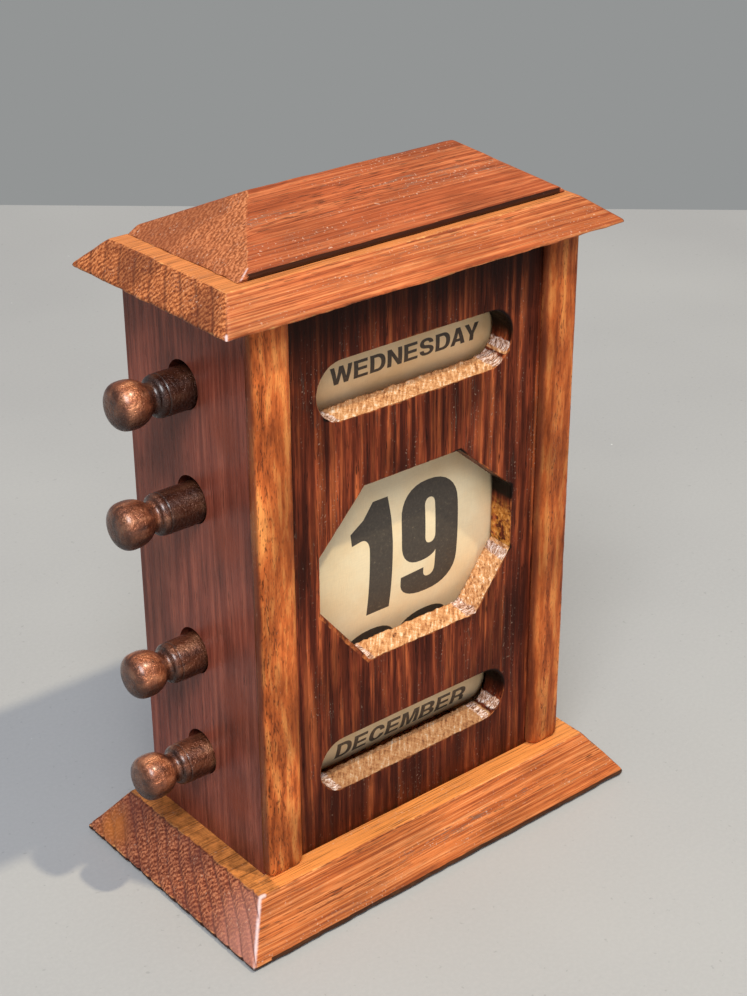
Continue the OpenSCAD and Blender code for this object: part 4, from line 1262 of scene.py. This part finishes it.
# %% Outlines of the numbers
digits = {
    "0": [oval(0, 19.7, 0, 33.1, 8.6), oval(8.1, 11.7, 5, 28.1, 2.2)],
    "1": [rounded((8.0, 33.0), (13.0, 33.0), (13.7, 27.0), (14.0, 20.0), (14.0, 0), (6.2, 0),
                  (6.2, 19.6), (6.2, 23.6, 1), (3.4, 23.5), (0.3, 23.0), (0.0, 26.4),
                  (4.4, 29.0))],
    "2": [rounded((0, 0), (0, 5.5), (8.6, 16.5), (11.7, 22.5), (11.7, 26.2), (11.7, 28.3, 1),
                  (9.9, 28.3), (8.1, 28.3, 1), (8.1, 26.0), (8.1, 22.6), (0, 22.6), (0, 24.5),
                  (0, 33.1, 1), (9.85, 33.1), (19.7, 33.1, 1), (19.7, 24.5), (19.7, 18.0, 1),
                  (15.4, 13.2), (9.4, 6.2), (19.7, 6.2), (19.7, 0))],
    "8": [oval(0, 19.7, 0, 33.1, 8.2), oval(8.1, 11.7, 4.6, 14.6, 2.2),
          oval(8.1, 11.7, 18.8, 28.5, 2.2)],
    "9": [rounded((0.2, 7.4), (8.1, 7.9), (8.1, 6.9), (8.1, 4.7, 1), (10.0, 4.7), (12.0, 4.7, 1),
                  (12.0, 7.2), (12.0, 12.2), (10.9, 10.4, 1), (6.9, 10.4), (0, 10.4, 1),
                  (0, 17.5), (0, 24.4), (0, 33.1, 1), (9.85, 33.1), (19.7, 33.1, 1),
                  (19.7, 24.4), (19.7, 8.8), (19.7, 0, 1), (9.85, 0), (0.0, 0, 1), (0.2, 6.0)),
          oval(8.2, 11.7, 15.0, 28.1, 2.2)]}


# %% [markdown]
# Each number is printed flat and then follows the cloth. Only 18, 19 and 20 lie on the open
# length. What would reach past its ends is cut off there.

# %% Numbers bent over the band
def number_mesh(name, marks, path, lengths):
    """Digits at their places (digit, x, height over the middle), filled, cut wherever the path
    bends, and laid along the path: a height becomes a length along it."""
    outlines = [np.array(outline) * (1.0, 1.02) + (x, height)
                for digit, x, height in marks for outline in digits[digit]]
    points, faces = flat_mesh(outlines, lengths[1:-1], keep=(lengths[-1] + 1, lengths[0] - 1))
    y = np.interp(-points[:, 1], -lengths, path[:, 0])
    z = np.interp(-points[:, 1], -lengths, path[:, 1])
    make_piece(name, np.column_stack([points[:, 0], y, z]), faces, ink, "case", "linen",
               smooth=False)


print_path = band_path(thick + ink_height)
steps = np.concatenate([[0], np.cumsum(np.linalg.norm(np.diff(print_path, axis=0), axis=1))])
lengths = steps[-1] / 2 - steps
shift = np.interp(windows[1]["middle"][1], print_path[::-1, 1], lengths[::-1])
number_mesh("date_numbers", [("1", -15.2, -19.5), ("9", 1.9, -19.1), ("2", -16.4, -59.0),
                             ("0", 2.7, -59.4), ("1", -15.2, 21.6), ("8", 1.9, 21.6)],
            print_path, lengths - shift)

# %% [markdown]
# ## Camera, light and floor
# The camera stands left of the calendar and looks down on it; its place comes from a fit to the
# corners of base, case, cornice and roof. A small warm lamp, high in front and a little right,
# throws the sharp edge of the shadow to the left and puts the highlights on the shellac. A wide
# cool one from the left fills the shadows.

# %% Camera
camera = bpy.data.objects.new("camera", bpy.data.cameras.new("camera"))
bpy.context.scene.collection.objects.link(camera)
bpy.context.scene.camera = camera
azimuth, elevation, roll = map(math.radians, (-39.5, 27.04, -0.29))
back = Vector((math.sin(azimuth) * math.cos(elevation),
               -math.cos(azimuth) * math.cos(elevation), math.sin(elevation)))
right = (-back).cross(Vector((0, 0, 1))).normalized()
up = right.cross(-back)
right, up = (math.cos(roll) * right + math.sin(roll) * up,
             -math.sin(roll) * right + math.cos(roll) * up)
turn = Matrix((right, up, back)).transposed().to_4x4()
camera.matrix_world = Matrix.Translation(Vector((-280.06, -345.82, 325.68)) * MM) @ turn
focal_pixels, image_height = 1879.68, 996
camera.data.sensor_width = 36
camera.data.lens = focal_pixels * 36 / image_height
camera.data.clip_start = 0.01
print("camera at", [round(v, 3) for v in camera.matrix_world.translation], "metres")

# %% [markdown]
# The floor is plain grey paint with a few pits and flakes. It ends behind the calendar, where the
# wall's grey takes over. The wall is no object: the camera sees the world's own colour there.

# %% Floor
floor_paint, net, shader, flat = new_material("floor paint")
soft = net.noise(flat, 0.006, 3.0)
colour = net.ramp(soft, (0.3, (170, 169, 167)), (0.7, (178, 177, 174)))
grain = net.noise(flat, 0.8, 4.0, 0.65)
pits = net.ease(net.noise(flat, 0.45, 3.0, 0.6), 0.66, 0.72, 0.0, 0.3)
colour = net.mix(net.ease(grain, 0.35, 0.7, 0.0, 0.1), colour, (205, 204, 200))
colour = net.mix(pits, colour, (120, 120, 118))
flakes = net.ease(net.noise(flat, 0.22, 2.0), 0.79, 0.81, 0.0, 0.8)
colour = net.mix(flakes, colour, (240, 240, 236))
net.put(colour, shader["Base Color"])
shader["Specular IOR Level"].default_value = 0.3
# In metres: two points on the line where the floor ends, at the sides of the picture. The floor
# runs 3 m on from them to both sides, and 4 m from that line towards the camera.
end_left, end_right = Vector((0.1949, 0.5522, 0)), Vector((0.5003, 0.2807, 0))
side = (end_right - end_left).normalized() * 3.0
nearer = Vector((back.x, back.y, 0)).normalized() * 4.0
corners = [end_left - side, end_right + side, end_right + side + nearer,
           end_left - side + nearer]
floor_mesh = bpy.data.meshes.new("floor")
floor_mesh.from_pydata([(c.x, c.y, 0.0) for c in corners], [], [(3, 2, 1, 0)])
floor_mesh.materials.append(floor_paint)
floor = bpy.data.objects.new("floor", floor_mesh)
bpy.context.scene.collection.objects.link(floor)
print("floor corners:", [(round(c.x, 2), round(c.y, 2)) for c in corners])

# %% [markdown]
# The world's light has three jobs, told apart by the kind of ray: what the camera sees of it is
# the wall, what shines back from shellac is darker, and all the rest is a dim cool fill.

# %% World and lamps
world = bpy.data.worlds.new("room")
bpy.context.scene.world = world
world.use_nodes = True
net = Net(world.node_tree)
sky = world.node_tree.nodes["Background"]
paths = net.node("ShaderNodeLightPath").node.outputs
light = net.mix(paths["Is Glossy Ray"], (0.30, 0.33, 0.40, 1.0), (0.16, 0.16, 0.17, 1.0))
net.put(net.mix(paths["Is Camera Ray"], light, (147, 149, 149)), sky.inputs["Color"])


def lamp(name, place, target, power, size, colour):
    """A square lamp at a place, turned to a target, in metres."""
    data = bpy.data.lights.new(name, "AREA")
    data.energy, data.size, data.color = power, size, colour
    made = bpy.data.objects.new(name, data)
    made.location = place
    made.rotation_euler = (Vector(target) - Vector(place)).to_track_quat("-Z", "Y").to_euler()
    bpy.context.scene.collection.objects.link(made)


lamp("small lamp", (0.47, -1.07, 2.61), (0, 0, 0.09), 42.0, 0.085, (1.0, 0.88, 0.64))
lamp("wide lamp", (-1.4, -1.5, 2.5), (0, 0, 0.05), 86.0, 1.4, (0.95, 0.97, 1.0))
print("lamps:", [made.name for made in bpy.data.lights])

# %% [markdown]
# The colours were matched with a plain display transform.

# %% Close
bpy.context.scene.view_settings.view_transform = "Standard"
